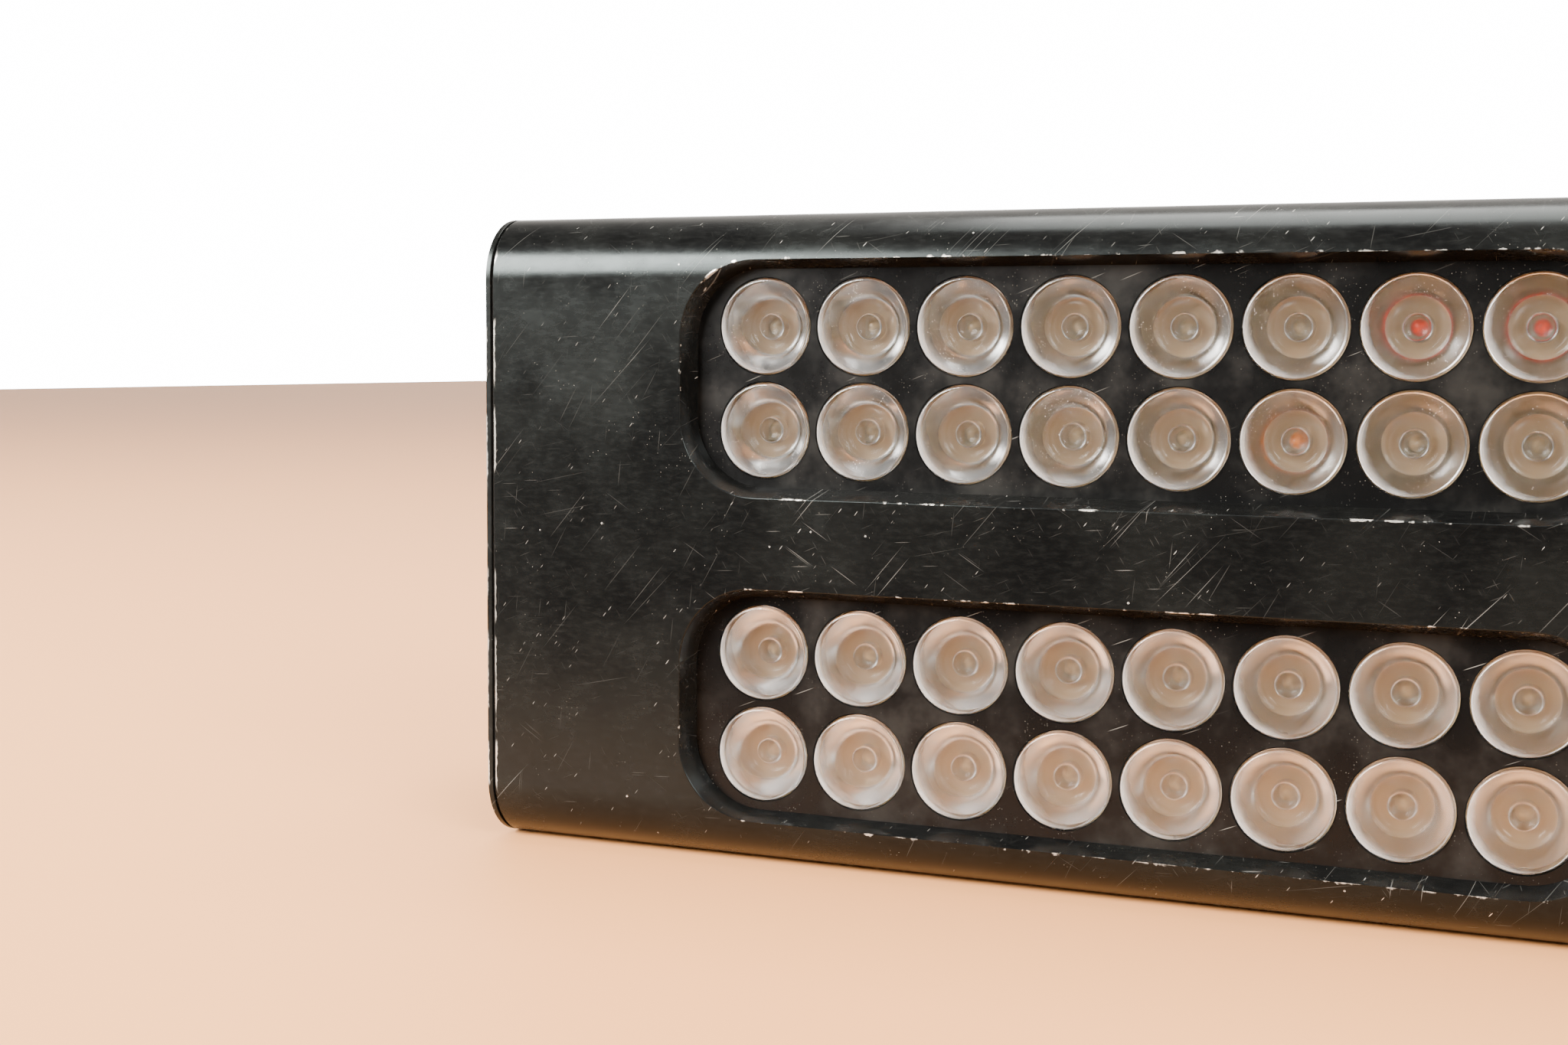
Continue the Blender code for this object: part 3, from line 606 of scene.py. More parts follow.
@dataclass(frozen=True)
class AnodisedAluminium(Finish):
    """Extruded 6063 aluminium, etched matt and anodised black, then handled for years.

    The dyed oxide is hard and slightly glossy, so it shows cloudy rub marks, hairline
    scratches and, where an edge took a knock, bare bright metal.
    """

    middle: float = 76.2                   # mid-height, and every size here, in mm
    window_offset: float = 38.0
    window_half: tuple[float, float] = (103.0, 27.25)
    window_radius: float = 18.5
    half_length: float = 152.75
    side_centre: float = -10.0             # the middle of the end's outline along Y
    side_half: tuple[float, float] = (56.0, 76.2)
    side_radius: float = 15.0
    wall_face: float = -66.0
    wear: float = 1.0

    @staticmethod
    def distance(tree: bpy.types.NodeTree, across: Socket, rise: Socket,
                 half: tuple[float, float], radius: float) -> Socket:
        """Measure the distance from the outline of a rounded rectangle.

        Args:
            tree: The material's tree.
            across: The first coordinate, from the rectangle's centre.
            rise: The second coordinate, from the rectangle's centre.
            half: Half its width and half its height.
            radius: Its corners' radius.

        Returns:
            The distance, the same inside and outside.
        """
        past = []
        for value, reach in zip((across, rise), half):
            away = add_node(tree, MATH, ABSOLUTE, {0: value})
            over = add_node(tree, MATH, SUBTRACT, {0: away, 1: reach - radius})
            past.append(add_node(tree, MATH, MAXIMUM, {0: over, 1: 0.0}))
        corner = add_node(tree, "ShaderNodeCombineXYZ", None, {0: past[0], 1: past[1]})
        reach = add_node(tree, VECTOR, LENGTH, {0: corner}, "Value")
        beyond = add_node(tree, MATH, SUBTRACT, {0: reach, 1: radius})
        return add_node(tree, MATH, ABSOLUTE, {0: beyond})

    def bare_windows(self, tree: bpy.types.NodeTree, place: Sequence[Socket], ragged: Socket,
                     patch: Socket) -> Socket:
        """Find where the windows' edges are worn to bare metal, most on the outer ones.

        Args:
            tree: The material's tree.
            place: The coordinates along X and Y, and the height from the middle, in mm.
            ragged: Fine noise that breaks the worn line up.
            patch: Broad noise that chooses the worn stretches.

        Returns:
            A mask, 1 where the metal is bare.
        """
        run, depth, rise = place
        from_middle = add_node(tree, MATH, ABSOLUTE, {0: rise})
        outermost = add_node(tree, RANGE, SMOOTH,
                             {"Value": from_middle, "From Min": 55.0, "From Max": 63.0})
        window = add_node(tree, MATH, SUBTRACT, {0: from_middle, 1: self.window_offset})
        rim = self.distance(tree, run, window, self.window_half, self.window_radius)
        inwards = add_node(tree, MATH, SUBTRACT, {0: depth, 1: self.wall_face})
        inwards = add_node(tree, MATH, MULTIPLY, {0: inwards, 1: 0.9})
        rim = add_node(tree, MATH, MAXIMUM, {0: rim, 1: inwards})
        for change, weight in ((ragged, -0.9), (outermost, -0.16)):
            part = add_node(tree, MATH, MULTIPLY, {0: change, 1: weight})
            rim = add_node(tree, MATH, ADD, {0: rim, 1: part})
        chance = add_node(tree, MATH, ADD, {0: ragged, 1: patch})
        favour = add_node(tree, MATH, MULTIPLY, {0: outermost, 1: 0.12})
        chance = add_node(tree, MATH, ADD, {0: chance, 1: favour})
        on_edge = add_node(tree, RANGE, SMOOTH, {"Value": rim, "From Min": -0.3, "From Max": -0.1,
                                                 "To Min": 1.0, "To Max": 0.0})
        chosen = add_node(tree, RANGE, SMOOTH,
                          {"Value": chance, "From Min": 1.13, "From Max": 1.25})
        return add_node(tree, MATH, MULTIPLY, {0: on_edge, 1: chosen})

    def bare_ends(self, tree: bpy.types.NodeTree, place: Sequence[Socket], ragged: Socket,
                  patch: Socket) -> Socket:
        """Find where the edges at the body's two ends are worn to bare metal.

        Args:
            tree: The material's tree.
            place: The coordinates along X and Y, and the height from the middle, in mm.
            ragged: Fine noise that breaks the worn line up.
            patch: Broad noise that chooses the worn stretches.

        Returns:
            A mask, 1 where the metal is bare.
        """
        run, depth, rise = place
        from_centre = add_node(tree, MATH, ABSOLUTE, {0: run})
        end = add_node(tree, MATH, SUBTRACT, {0: self.half_length, 1: from_centre})
        across = add_node(tree, MATH, ADD, {0: depth, 1: -self.side_centre})
        side = self.distance(tree, across, rise, self.side_half, self.side_radius)
        edge = add_node(tree, MATH, MAXIMUM, {0: end, 1: side})
        part = add_node(tree, MATH, MULTIPLY, {0: ragged, 1: -1.3})
        edge = add_node(tree, MATH, ADD, {0: edge, 1: part})
        on_edge = add_node(tree, RANGE, SMOOTH, {"Value": edge, "From Min": -0.5,
                                                 "From Max": -0.2, "To Min": 1.0, "To Max": 0.0})
        chosen = add_node(tree, RANGE, SMOOTH,
                          {"Value": patch, "From Min": 0.5, "From Max": 0.58})
        return add_node(tree, MATH, MULTIPLY, {0: on_edge, 1: chosen})

    def bare_metal(self, tree: bpy.types.NodeTree, spot: Socket) -> Socket:
        """Find all the bare metal: worn edges, and nicks on the flat faces.

        Args:
            tree: The material's tree.
            spot: The coordinates in millimetres.

        Returns:
            A mask, 1 where the metal is bare.
        """
        ragged, patch = [
            add_node(tree, NOISE, None, {"Vector": spot, "Scale": scale, "Detail": detail,
                                         "Roughness": roughness})
            for scale, detail, roughness in ((0.34, 3.0, 0.6), (0.05, 2.0, 0.55))]
        run, depth, height = [add_node(tree, "ShaderNodeSeparateXYZ", None, {0: spot}, name)
                              for name in "XYZ"]
        rise = add_node(tree, MATH, SUBTRACT, {0: height, 1: self.middle})
        worn = self.bare_windows(tree, (run, depth, rise), ragged, patch)
        sawn = self.bare_ends(tree, (run, depth, rise), ragged, patch)
        edges = add_node(tree, MATH, MAXIMUM, {0: worn, 1: sawn})
        dots = specks(tree, spot, 0.3, 0.09, 0.05)
        nicks = add_node(tree, MATH, MAXIMUM, {0: dots, 1: scratches(tree, spot, 52, 1.6, 0.004)})
        nicks = add_node(tree, MATH, MULTIPLY, {0: nicks, 1: 0.9})
        bare = add_node(tree, MATH, MAXIMUM, {0: edges, 1: nicks})
        return add_node(tree, MATH, MULTIPLY, {0: bare, 1: self.wear})

    def dress(self, tree: bpy.types.NodeTree, shader: bpy.types.Node, spot: Socket) -> None:
        """Add rub marks, scratches, nicks and bare edges.

        Args:
            tree: The material's node tree.
            shader: The main shader to dress.
            spot: Object coordinates in metres.
        """
        shader.inputs["Specular IOR Level"].default_value = 0.22
        shader.inputs["Specular Tint"].default_value = linear("#D5E4E4")
        # Clouds 25 mm across, smears 9 mm, and rub marks 1 mm high and 3 mm long.
        rub_spot = add_node(tree, MAPPING, None, {"Vector": spot, "Scale": (0.3, 1, 0.8)})
        cloud, smear, rub = [
            add_node(tree, NOISE, None, {"Vector": place, "Scale": scale, "Detail": detail,
                                         "Roughness": roughness})
            for place, scale, detail, roughness in (
                (spot, 0.04, 5.0, 0.5), (spot, 0.11, 4.0, 0.6), (rub_spot, 1.0, 4.0, 0.7))]
        clouded, smeared, rubbed, dusty = [
            add_node(tree, RANGE, SMOOTH, {"Value": noise, "From Min": low, "From Max": high})
            for noise, low, high in ((cloud, 0.35, 0.7), (smear, 0.4, 0.75), (rub, 0.4, 0.7),
                                     (smear, 0.5, 0.66))]
        greyed = add_node(tree, RANGE, SMOOTH, {"Value": rub, "From Min": 0.4, "From Max": 0.75,
                                                "To Min": 0.0, "To Max": 0.4})
        marks = scratches(tree, spot, 3, 5.0, 0.006)
        for angle, length, cover in ((46, 26.0, 0.01), (-33, 9.0, 0.004), (84, 7.0, 0.007),
                                     (61, 12.0, 0.006), (12, 18.0, 0.003), (50, 18.0, 0.02)):
            more = scratches(tree, spot, angle, length, cover)
            marks = add_node(tree, MATH, MAXIMUM, {0: marks, 1: more})
        fine = add_node(tree, MATH, MAXIMUM, {0: scratches(tree, spot, 23, 4.0, 0.03),
                                              1: scratches(tree, spot, -58, 3.0, 0.03)})
        dust = add_node(tree, MATH, MULTIPLY, {0: specks(tree, spot, 1.4, 0.16, 0.22), 1: dusty})
        bare = self.bare_metal(tree, spot)
        base = coats(tree, linear(self.colour), (
            (clouded, 1.0, linear("#0D0D0C")), (greyed, 1.0, linear("#161615")),
            (fine, 0.05, linear("#8E8C87")), (marks, 0.22, linear("#9A9893")),
            (dust, 0.5, linear("#A39E94")), (bare, 1.0, linear("#D6D2CA"))))
        rough = add_node(tree, RANGE, SMOOTH, {"Value": cloud, "From Min": 0.3, "From Max": 0.72,
                                               "To Min": self.roughness - 0.03,
                                               "To Max": self.roughness + 0.06})
        for mask, weight in ((smeared, 0.05), (rubbed, 0.04)):
            part = add_node(tree, MATH, MULTIPLY, {0: mask, 1: weight})
            rough = add_node(tree, MATH, ADD, {0: rough, 1: part})
        metal = add_node(tree, MATH, MULTIPLY, {0: bare, 1: 0.85})
        # Etching leaves a grain finer than 0.1 mm, drawn at 0.3 mm so that it shows.
        grain = add_node(tree, NOISE, None,
                         {"Vector": spot, "Scale": 3.0, "Detail": 2.0, "Roughness": 0.55})
        grain = add_node(tree, MATH, MULTIPLY, {0: grain, 1: 0.5})
        relief = add_node(tree, MATH, ADD, {0: marks, 1: grain})
        bump = add_node(tree, BUMP, None, {"Height": relief, "Strength": 0.12, "Distance": 4e-05})
        feed(tree, shader, {"Base Color": base, "Roughness": rough, "Metallic": metal,
                            "Normal": bump})


@dataclass(frozen=True)
class DustyPlate(Finish):
    """Black-painted aluminium sheet behind the windows, satin and dusty in patches."""

    dust_colour: str = "#8E8980"

    def dress(self, tree: bpy.types.NodeTree, shader: bpy.types.Node, spot: Socket) -> None:
        """Add settled dust and finger smears.

        Args:
            tree: The material's node tree.
            shader: The main shader to dress.
            spot: Object coordinates in metres.
        """
        shader.inputs["Specular IOR Level"].default_value = 0.12
        # Smears 17 mm across, dusty patches 12 mm, and sprayed paint's grain at 0.25 mm.
        cloud, patch, grain = [
            add_node(tree, NOISE, None, {"Vector": spot, "Scale": scale, "Detail": detail,
                                         "Roughness": roughness})
            for scale, detail, roughness in (
                (0.06, 5.0, 0.6), (0.085, 4.0, 0.65), (4.0, 2.0, 0.55))]
        smeared, patched = [
            add_node(tree, RANGE, SMOOTH, {"Value": noise, "From Min": low, "From Max": high})
            for noise, low, high in ((cloud, 0.45, 0.75), (patch, 0.47, 0.62))]
        grains = add_node(tree, MATH, MAXIMUM, {0: specks(tree, spot, 2.0, 0.2, 0.3),
                                                1: specks(tree, spot, 0.9, 0.1, 0.16)})
        settled = add_node(tree, MATH, MULTIPLY, {0: grains, 1: patched})
        base = coats(tree, linear(self.colour), (
            (smeared, 0.035, linear(self.dust_colour)), (settled, 0.4, linear(self.dust_colour)),
            (scratches(tree, spot, 22, 6.0, 0.01), 0.3, linear("#B9B5AD"))))
        rough = add_node(tree, RANGE, SMOOTH, {"Value": cloud, "From Min": 0.3, "From Max": 0.7,
                                               "To Min": self.roughness - 0.08,
                                               "To Max": self.roughness + 0.1})
        bump = add_node(tree, BUMP, None, {"Height": grain, "Strength": 0.1, "Distance": 3e-05})
        feed(tree, shader, {"Base Color": base, "Roughness": rough, "Normal": bump})


@dataclass(frozen=True)
class ClearAcrylic(Finish):
    """Moulded acrylic collimator, clear and glossy, hazed by heat and fine dust, with a painted
    highlight crescent at each lens's lower left rim.
    """

    haze: float = 0.05
    grime: float = 0.5
    row_phase: float = 0.0                 # a row's height, modulo the pitch, in mm
    highlight_crescent: float = 0.0                      # painted highlight crescent at each lens's lower left rim, in place of its inner reflection
    crescent_offset: tuple[float, float] = (2.0, 1.2)  # how far the disc inside the painted highlight crescent lies off centre, in mm
    pitch: float = 24.0

    def painted_highlight_crescent(self, tree: bpy.types.NodeTree, spot: Socket) -> Socket:
        """Find the painted highlight crescent at each lens's lower left rim, which stands in for the
        lens's inner reflection.

        Args:
            tree: The material's tree.
            spot: The coordinates in millimetres.

        Returns:
            A mask, as strong as the painted highlight.
        """
        local = []
        for name, phase, shift in zip("XZ", (self.pitch / 2, self.row_phase), self.crescent_offset):
            along = add_node(tree, "ShaderNodeSeparateXYZ", None, {0: spot}, name)
            along = add_node(tree, MATH, ADD, {0: along, 1: self.pitch / 2 - phase})
            along = add_node(tree, MATH, {"operation": "FLOORED_MODULO"},
                             {0: along, 1: self.pitch})
            local.append(add_node(tree, MATH, SUBTRACT, {0: along, 1: self.pitch / 2 + shift}))
        place = add_node(tree, "ShaderNodeCombineXYZ", None, {0: local[0], 1: local[1]})
        away = add_node(tree, VECTOR, LENGTH, {0: place}, "Value")
        ragged = add_node(tree, NOISE, None,
                          {"Vector": spot, "Scale": 0.3, "Detail": 4.0, "Roughness": 0.55})
        ragged = add_node(tree, MATH, MULTIPLY, {0: ragged, 1: 1.6})
        away = add_node(tree, MATH, ADD, {0: away, 1: ragged})
        crescent = add_node(tree, RANGE, SMOOTH,
                            {"Value": away, "From Min": 11.7, "From Max": 14.2})
        return add_node(tree, MATH, MULTIPLY, {0: crescent, 1: self.highlight_crescent})

    def dress(self, tree: bpy.types.NodeTree, shader: bpy.types.Node, spot: Socket) -> None:
        """Make it clear, with haze, dust specks and the painted highlight crescent.

        Args:
            tree: The material's node tree.
            shader: The main shader to dress.
            spot: Object coordinates in metres.
        """
        shader.inputs["IOR"].default_value = 1.49
        # Dusty patches 7 mm across, and clouds of haze 5 mm across.
        patch, cloud = [
            add_node(tree, NOISE, None, {"Vector": spot, "Scale": scale, "Detail": detail,
                                         "Roughness": roughness})
            for scale, detail, roughness in ((0.14, 4.0, 0.65), (0.2, 3.0, 0.55))]
        patched = add_node(tree, RANGE, SMOOTH,
                           {"Value": patch, "From Min": 0.5, "From Max": 0.62})
        grains = add_node(tree, MATH, MAXIMUM, {0: specks(tree, spot, 2.6, 0.22, 0.3),
                                                1: specks(tree, spot, 1.1, 0.1, 0.12)})
        settled = add_node(tree, MATH, MULTIPLY, {0: grains, 1: patched})
        settled = add_node(tree, MATH, MULTIPLY, {0: settled, 1: self.grime})
        # The dust mask holds the real dust specks and the painted highlight crescent; both cut the
        # transmission so the white base shows.
        dust = add_node(tree, MATH, MAXIMUM, {0: settled, 1: self.painted_highlight_crescent(tree, spot)})
        clear = add_node(tree, MATH, SUBTRACT, {0: 1.0, 1: dust})
        rough = add_node(tree, RANGE, SMOOTH, {"Value": cloud, "From Min": 0.3, "From Max": 0.7,
                                               "To Min": self.roughness,
                                               "To Max": self.roughness + self.haze})
        feed(tree, shader, {"Transmission Weight": clear, "Roughness": rough})


@dataclass(frozen=True)
class Moulding(Finish):
    """Moulded or sprayed plastic and powder coat: an even colour with a fine, hard grain."""

    grain_per_mm: float = 2.5
    grain_depth: float = 0.00004
    worn: float = 0.2

    def dress(self, tree: bpy.types.NodeTree, shader: bpy.types.Node, spot: Socket) -> None:
        """Add grain, rub marks 14 mm across and a few scratches.

        Args:
            tree: The material's node tree.
            shader: The main shader to dress.
            spot: Object coordinates in metres.
        """
        cloud, grain = [
            add_node(tree, NOISE, None, {"Vector": spot, "Scale": scale, "Detail": detail,
                                         "Roughness": roughness})
            for scale, detail, roughness in ((0.07, 5.0, 0.6), (self.grain_per_mm, 2.0, 0.55))]
        rub = add_node(tree, RANGE, SMOOTH, {"Value": cloud, "From Min": 0.45, "From Max": 0.75})
        marks = scratches(tree, spot, 31, 5.0, 0.012)
        marks = add_node(tree, MATH, MULTIPLY, {0: marks, 1: self.worn})
        pale = tuple(min(1.0, channel * 1.6 + 0.03) for channel in linear(self.colour)[:3])
        base = coats(tree, linear(self.colour), ((rub, self.worn * 0.3, (*pale, 1.0)),
                                                 (marks, 0.5, linear("#A5A29B"))))
        rough = add_node(tree, RANGE, SMOOTH, {"Value": cloud, "From Min": 0.3, "From Max": 0.7,
                                               "To Min": self.roughness - 0.06,
                                               "To Max": self.roughness + 0.08})
        bump = add_node(tree, BUMP, None,
                        {"Height": grain, "Strength": 0.3, "Distance": self.grain_depth})
        feed(tree, shader, {"Base Color": base, "Roughness": rough, "Normal": bump})


@dataclass(frozen=True)
class BareMetal(Finish):
    """Bare, plated or blackened metal with the fine lines of rolling or turning."""

    line_direction: tuple[float, float, float] = (0.05, 1.0, 1.0)
    tarnish: str = "#6E6A63"

    def dress(self, tree: bpy.types.NodeTree, shader: bpy.types.Node, spot: Socket) -> None:
        """Add drawn lines 0.3 mm apart and dull patches 8 mm across.

        Args:
            tree: The material's node tree.
            shader: The main shader to dress.
            spot: Object coordinates in metres.
        """
        stretched = add_node(tree, MAPPING, None, {"Vector": spot, "Scale": self.line_direction})
        lines, cloud = [
            add_node(tree, NOISE, None, {"Vector": place, "Scale": scale, "Detail": 4.0,
                                         "Roughness": roughness})
            for place, scale, roughness in ((stretched, 3.0, 0.6), (spot, 0.12, 0.55))]
        dull = add_node(tree, RANGE, SMOOTH, {"Value": cloud, "From Min": 0.5, "From Max": 0.8})
        base = coats(tree, linear(self.colour), ((dull, 0.4, linear(self.tarnish)),))
        rough = add_node(tree, RANGE, SMOOTH, {"Value": lines, "From Min": 0.3, "From Max": 0.7,
                                               "To Min": self.roughness - 0.07,
                                               "To Max": self.roughness + 0.12})
        bump = add_node(tree, BUMP, None, {"Height": lines, "Strength": 0.15, "Distance": 3e-05})
        feed(tree, shader, {"Base Color": base, "Roughness": rough, "Normal": bump})


@dataclass(frozen=True)
class EmitterDome(Finish):
    """Silicone dome over an LED's phosphor or die: soft colour under a glossy skin."""

    def dress(self, tree: bpy.types.NodeTree, shader: bpy.types.Node, spot: Socket) -> None:
        """Vary the colour a little, in millimetre patches, under a clear coat.

        Args:
            tree: The material's node tree.
            shader: The main shader to dress.
            spot: Object coordinates in metres.
        """
        shader.inputs["Coat Weight"].default_value = 0.8
        shader.inputs["Coat Roughness"].default_value = 0.05
        cloud = add_node(tree, NOISE, None,
                         {"Vector": spot, "Scale": 0.9, "Detail": 2.0, "Roughness": 0.55})
        shade = add_node(tree, RANGE, SMOOTH, {"Value": cloud, "From Min": 0.3, "From Max": 0.7})
        darker = tuple(channel * 0.6 for channel in linear(self.colour)[:3])
        base = coats(tree, linear(self.colour), ((shade, 1.0, (*darker, 1.0)),))
        feed(tree, shader, {"Base Color": base})


FINISHES: dict[str, Finish] = {
    "body": AnodisedAluminium("black_anodised_body", "#070707", 0.2),
    "end": AnodisedAluminium("black_anodised_end_plate", "#0A0A09", 0.26, half_length=154.95,
                             wear=0.8),
    "plate": DustyPlate("dusty_lens_plate", "#080808", 0.3),
    # Both lens finishes paint a highlight crescent at each lens's lower left rim.
    "lens_upper": ClearAcrylic("clear_acrylic_upper", "#FFFFFF", 0.1, haze=0.12, grime=0.75,
                               row_phase=6.2, highlight_crescent=0.22),
    "lens_lower": ClearAcrylic("hazed_acrylic_lower", "#FFFFFF", 0.16, haze=0.08, grime=0.2,
                               row_phase=2.2, highlight_crescent=0.22),
    "board": Moulding("tan_solder_mask", "#8A7150", 0.4, grain_per_mm=1.5, worn=0.1),
    "ceramic": Moulding("white_ceramic", "#8A7C62", 0.35, grain_per_mm=4.0, worn=0.0),
    "powder": Moulding("black_powder_coat", "#1A1A1A", 0.52, grain_per_mm=3.2,
                       grain_depth=0.00012, worn=0.45),
    "yoke": Moulding("black_coated_steel", "#181818", 0.5, grain_per_mm=3.2,
                     grain_depth=0.00012, worn=0.6),
    "rubber": Moulding("black_rubber", "#0C0C0C", 0.85, worn=0.0),
    "socket": Moulding("black_moulded_nylon", "#161616", 0.4, grain_per_mm=3.0, worn=0.3),
    "knob": Moulding("black_glass_filled_nylon", "#171717", 0.55, grain_per_mm=3.5,
                     grain_depth=0.0001, worn=0.5),
    "button": Moulding("grey_silicone", "#4A4A4C", 0.6, worn=0.3),
    "fibre": Moulding("red_vulcanised_fibre", "#5A2A18", 0.75, worn=0.2),
    "pad": Moulding("grey_thermal_pad", "#8A90A0", 0.8, worn=0.0),
    "green": Moulding("green_solder_mask", "#1C5A34", 0.4, grain_per_mm=0.6, worn=0.2),
    "lead": Moulding("white_sleeve", "#CFC8BC", 0.5, worn=0.1),
    "glazing": ClearAcrylic("display_glazing", "#DDE6E4", 0.04, haze=0.03, grime=0.3),
    "screen": Moulding("grey_liquid_crystal", "#5D6A60", 0.25, grain_per_mm=0.5, worn=0.0),
    "mill": BareMetal("mill_aluminium", "#C4C2BE", 0.32, 1.0),
    "nickel": BareMetal("nickel_plate", "#B9B2A4", 0.24, 1.0),
    "black_oxide": BareMetal("black_oxide_steel", "#2B2A29", 0.36, 0.9, tarnish="#4A4642"),
}


def finish(name: str) -> bpy.types.Material:
    """Return the material of a named finish."""
    return FINISHES[name].build()


# ---------------------------------------------------------------- repeated pieces


class Repeater:
    """Geometry Nodes trees that lay a shape out many times."""

    def __init__(self) -> None:
        """Build both trees."""
        self.grid_tree = self.make_tree("lay_out_in_grid", self.grid_points, {
            "Columns": "NodeSocketInt", "Rows": "NodeSocketInt", "Pitch": "NodeSocketVector",
            "Centre": "NodeSocketVector"})
        self.place_tree = self.make_tree("lay_out_at_points", self.given_points, {})

    @staticmethod
    def grid_points(tree: bpy.types.NodeTree, given: bpy.types.Node) -> Socket:
        """Make an upright grid of points from its counts, pitch and centre.

        Args:
            tree: The tree to build in.
            given: The group's inputs.

        Returns:
            The points' geometry.
        """
        pitch = [add_node(tree, "ShaderNodeSeparateXYZ", None, {0: given.outputs["Pitch"]}, name)
                 for name in "XZ"]
        spans = []
        for count, step in zip(("Columns", "Rows"), pitch):
            fewer = add_node(tree, MATH, SUBTRACT, {0: given.outputs[count], 1: 1.0})
            spans.append(add_node(tree, MATH, MULTIPLY, {0: fewer, 1: step}))
        grid = add_node(tree, "GeometryNodeMeshGrid", None,
                        {"Size X": spans[0], "Size Y": spans[1],
                         "Vertices X": given.outputs["Columns"],
                         "Vertices Y": given.outputs["Rows"]})
        return add_node(tree, "GeometryNodeTransform", None,
                        {"Geometry": grid, "Translation": given.outputs["Centre"],
                         "Rotation": (math.pi / 2, 0.0, 0.0)})

    @staticmethod
    def given_points(tree: bpy.types.NodeTree, given: bpy.types.Node) -> Socket:
        """Use the points of the object that carries the tree."""
        return given.outputs["Geometry"]

    @staticmethod
    def make_tree(name: str, points: Any, sizes: dict[str, str]) -> bpy.types.NodeTree:
        """Build a tree that puts a shape at points, realizes it and dresses it.

        Args:
            name: The tree's name.
            points: A method that adds the nodes which make the points.
            sizes: Named inputs and their socket types, besides the shape and its finish.

        Returns:
            The tree.
        """
        tree = bpy.data.node_groups.new(name, "GeometryNodeTree")
        inputs = {"Geometry": "NodeSocketGeometry", "Shape": "NodeSocketObject",
                  "Turn": "NodeSocketVector", "Finish": "NodeSocketMaterial", **sizes}
        for label, kind in inputs.items():
            tree.interface.new_socket(name=label, in_out="INPUT", socket_type=kind)
        tree.interface.new_socket(name="Geometry", in_out="OUTPUT",
                                  socket_type="NodeSocketGeometry")
        given = tree.nodes.new("NodeGroupInput")
        shape = add_node(tree, "GeometryNodeObjectInfo", None,
                         {"Object": given.outputs["Shape"]}, "Geometry")
        copies = add_node(tree, "GeometryNodeInstanceOnPoints", None,
                          {"Points": points(tree, given), "Instance": shape,
                           "Rotation": given.outputs["Turn"]})
        real = add_node(tree, "GeometryNodeRealizeInstances", None, {0: copies})
        dressed = add_node(tree, "GeometryNodeSetMaterial", None,
                           {"Geometry": real, "Material": given.outputs["Finish"]})
        add_node(tree, "NodeGroupOutput", None, {0: dressed})
        return tree

    @staticmethod
    def run(tree: bpy.types.NodeTree, carrier: bpy.types.Object,
            shape: bpy.types.Object, **values: Any) -> bpy.types.Object:
        """Run a tree on an object and keep its plain mesh.

        Args:
            tree: The tree.
            carrier: The object that becomes the result.
            shape: The shape to repeat, removed afterwards.
            **values: The tree's other inputs, by name.

        Returns:
            The carrier, with the repeated shape as its mesh.
        """
        modifier = carrier.modifiers.new("repeat", "NODES")
        modifier.node_group = tree
        values["Shape"] = shape
        for item in tree.interface.items_tree:
            if item.in_out == "INPUT" and item.name in values:
                modifier[item.identifier] = values[item.name]
        settle(carrier)
        spent = shape.data
        bpy.data.objects.remove(shape)
        bpy.data.meshes.remove(spent)
        return carrier

    def grid(self, name: str, shape: bpy.types.Object, material: bpy.types.Material,
             columns: int, rows: int, pitch: tuple[float, float],
             centre: Sequence[float]) -> bpy.types.Object:
        """Repeat a shape in an upright grid.

        Args:
            name: The new piece's name.
            shape: The shape, modelled about the origin.
            material: Its finish.
            columns: How many stand side by side.
            rows: How many stand above each other.
            pitch: The distances between columns and between rows.
            centre: The grid's centre.

        Returns:
            The new piece.
        """
        return self.run(self.grid_tree, make_object(name, bmesh.new()), shape,
                        Columns=columns, Rows=rows, Pitch=(pitch[0], 0.0, pitch[1]),
                        Centre=tuple(centre), Finish=material, Turn=(0.0, 0.0, 0.0))

    def at_points(self, name: str, shape: bpy.types.Object, material: bpy.types.Material,
                  points: Iterable[Sequence[float]],
                  turn: tuple[float, float, float] = (0.0, 0.0, 0.0)) -> bpy.types.Object:
        """Repeat a shape at given points, all turned the same way.

        Args:
            name: The new piece's name.
            shape: The shape to repeat, which is removed.
            material: The finish of every copy.
            points: Where the copies go.
            turn: How every copy is turned.

        Returns:
            The piece, as one plain mesh.
        """
        carrier = bmesh.new()
        for point in points:
            carrier.verts.new(point)
        return self.run(self.place_tree, make_object(name, carrier), shape,
                        Finish=material, Turn=turn)


# ---------------------------------------------------------------- sub-assemblies


@dataclass
class Grid:
    """The lens grid, read from the frame's lens strips."""

    columns: int = 8
    pitch: float = 24.0 * MM
    lens_radius: float = 10.8 * MM
    names: tuple[str, ...] = ("upper", "lower")
    face: float = field(init=False)
    rear: float = field(init=False)

    def __post_init__(self) -> None:
        """Read the lens faces' plane and the cones' rear plane."""
        low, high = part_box("lens_strip_upper_top")
        self.face, self.rear = low.y, high.y

    def row_height(self, window: str, row: str) -> float:
        """Return the height of a row's lens centres."""
        low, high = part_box(f"lens_strip_{window}_{row}")
        return (low.z + high.z) / 2

    def window_height(self, window: str) -> float:
        """Return the height of a window's centre."""
        return (self.row_height(window, "top") + self.row_height(window, "bottom")) / 2

    def column_place(self, column: int) -> float:
        """Return a column's place along X."""
        return self.pitch * (column - (self.columns - 1) / 2)


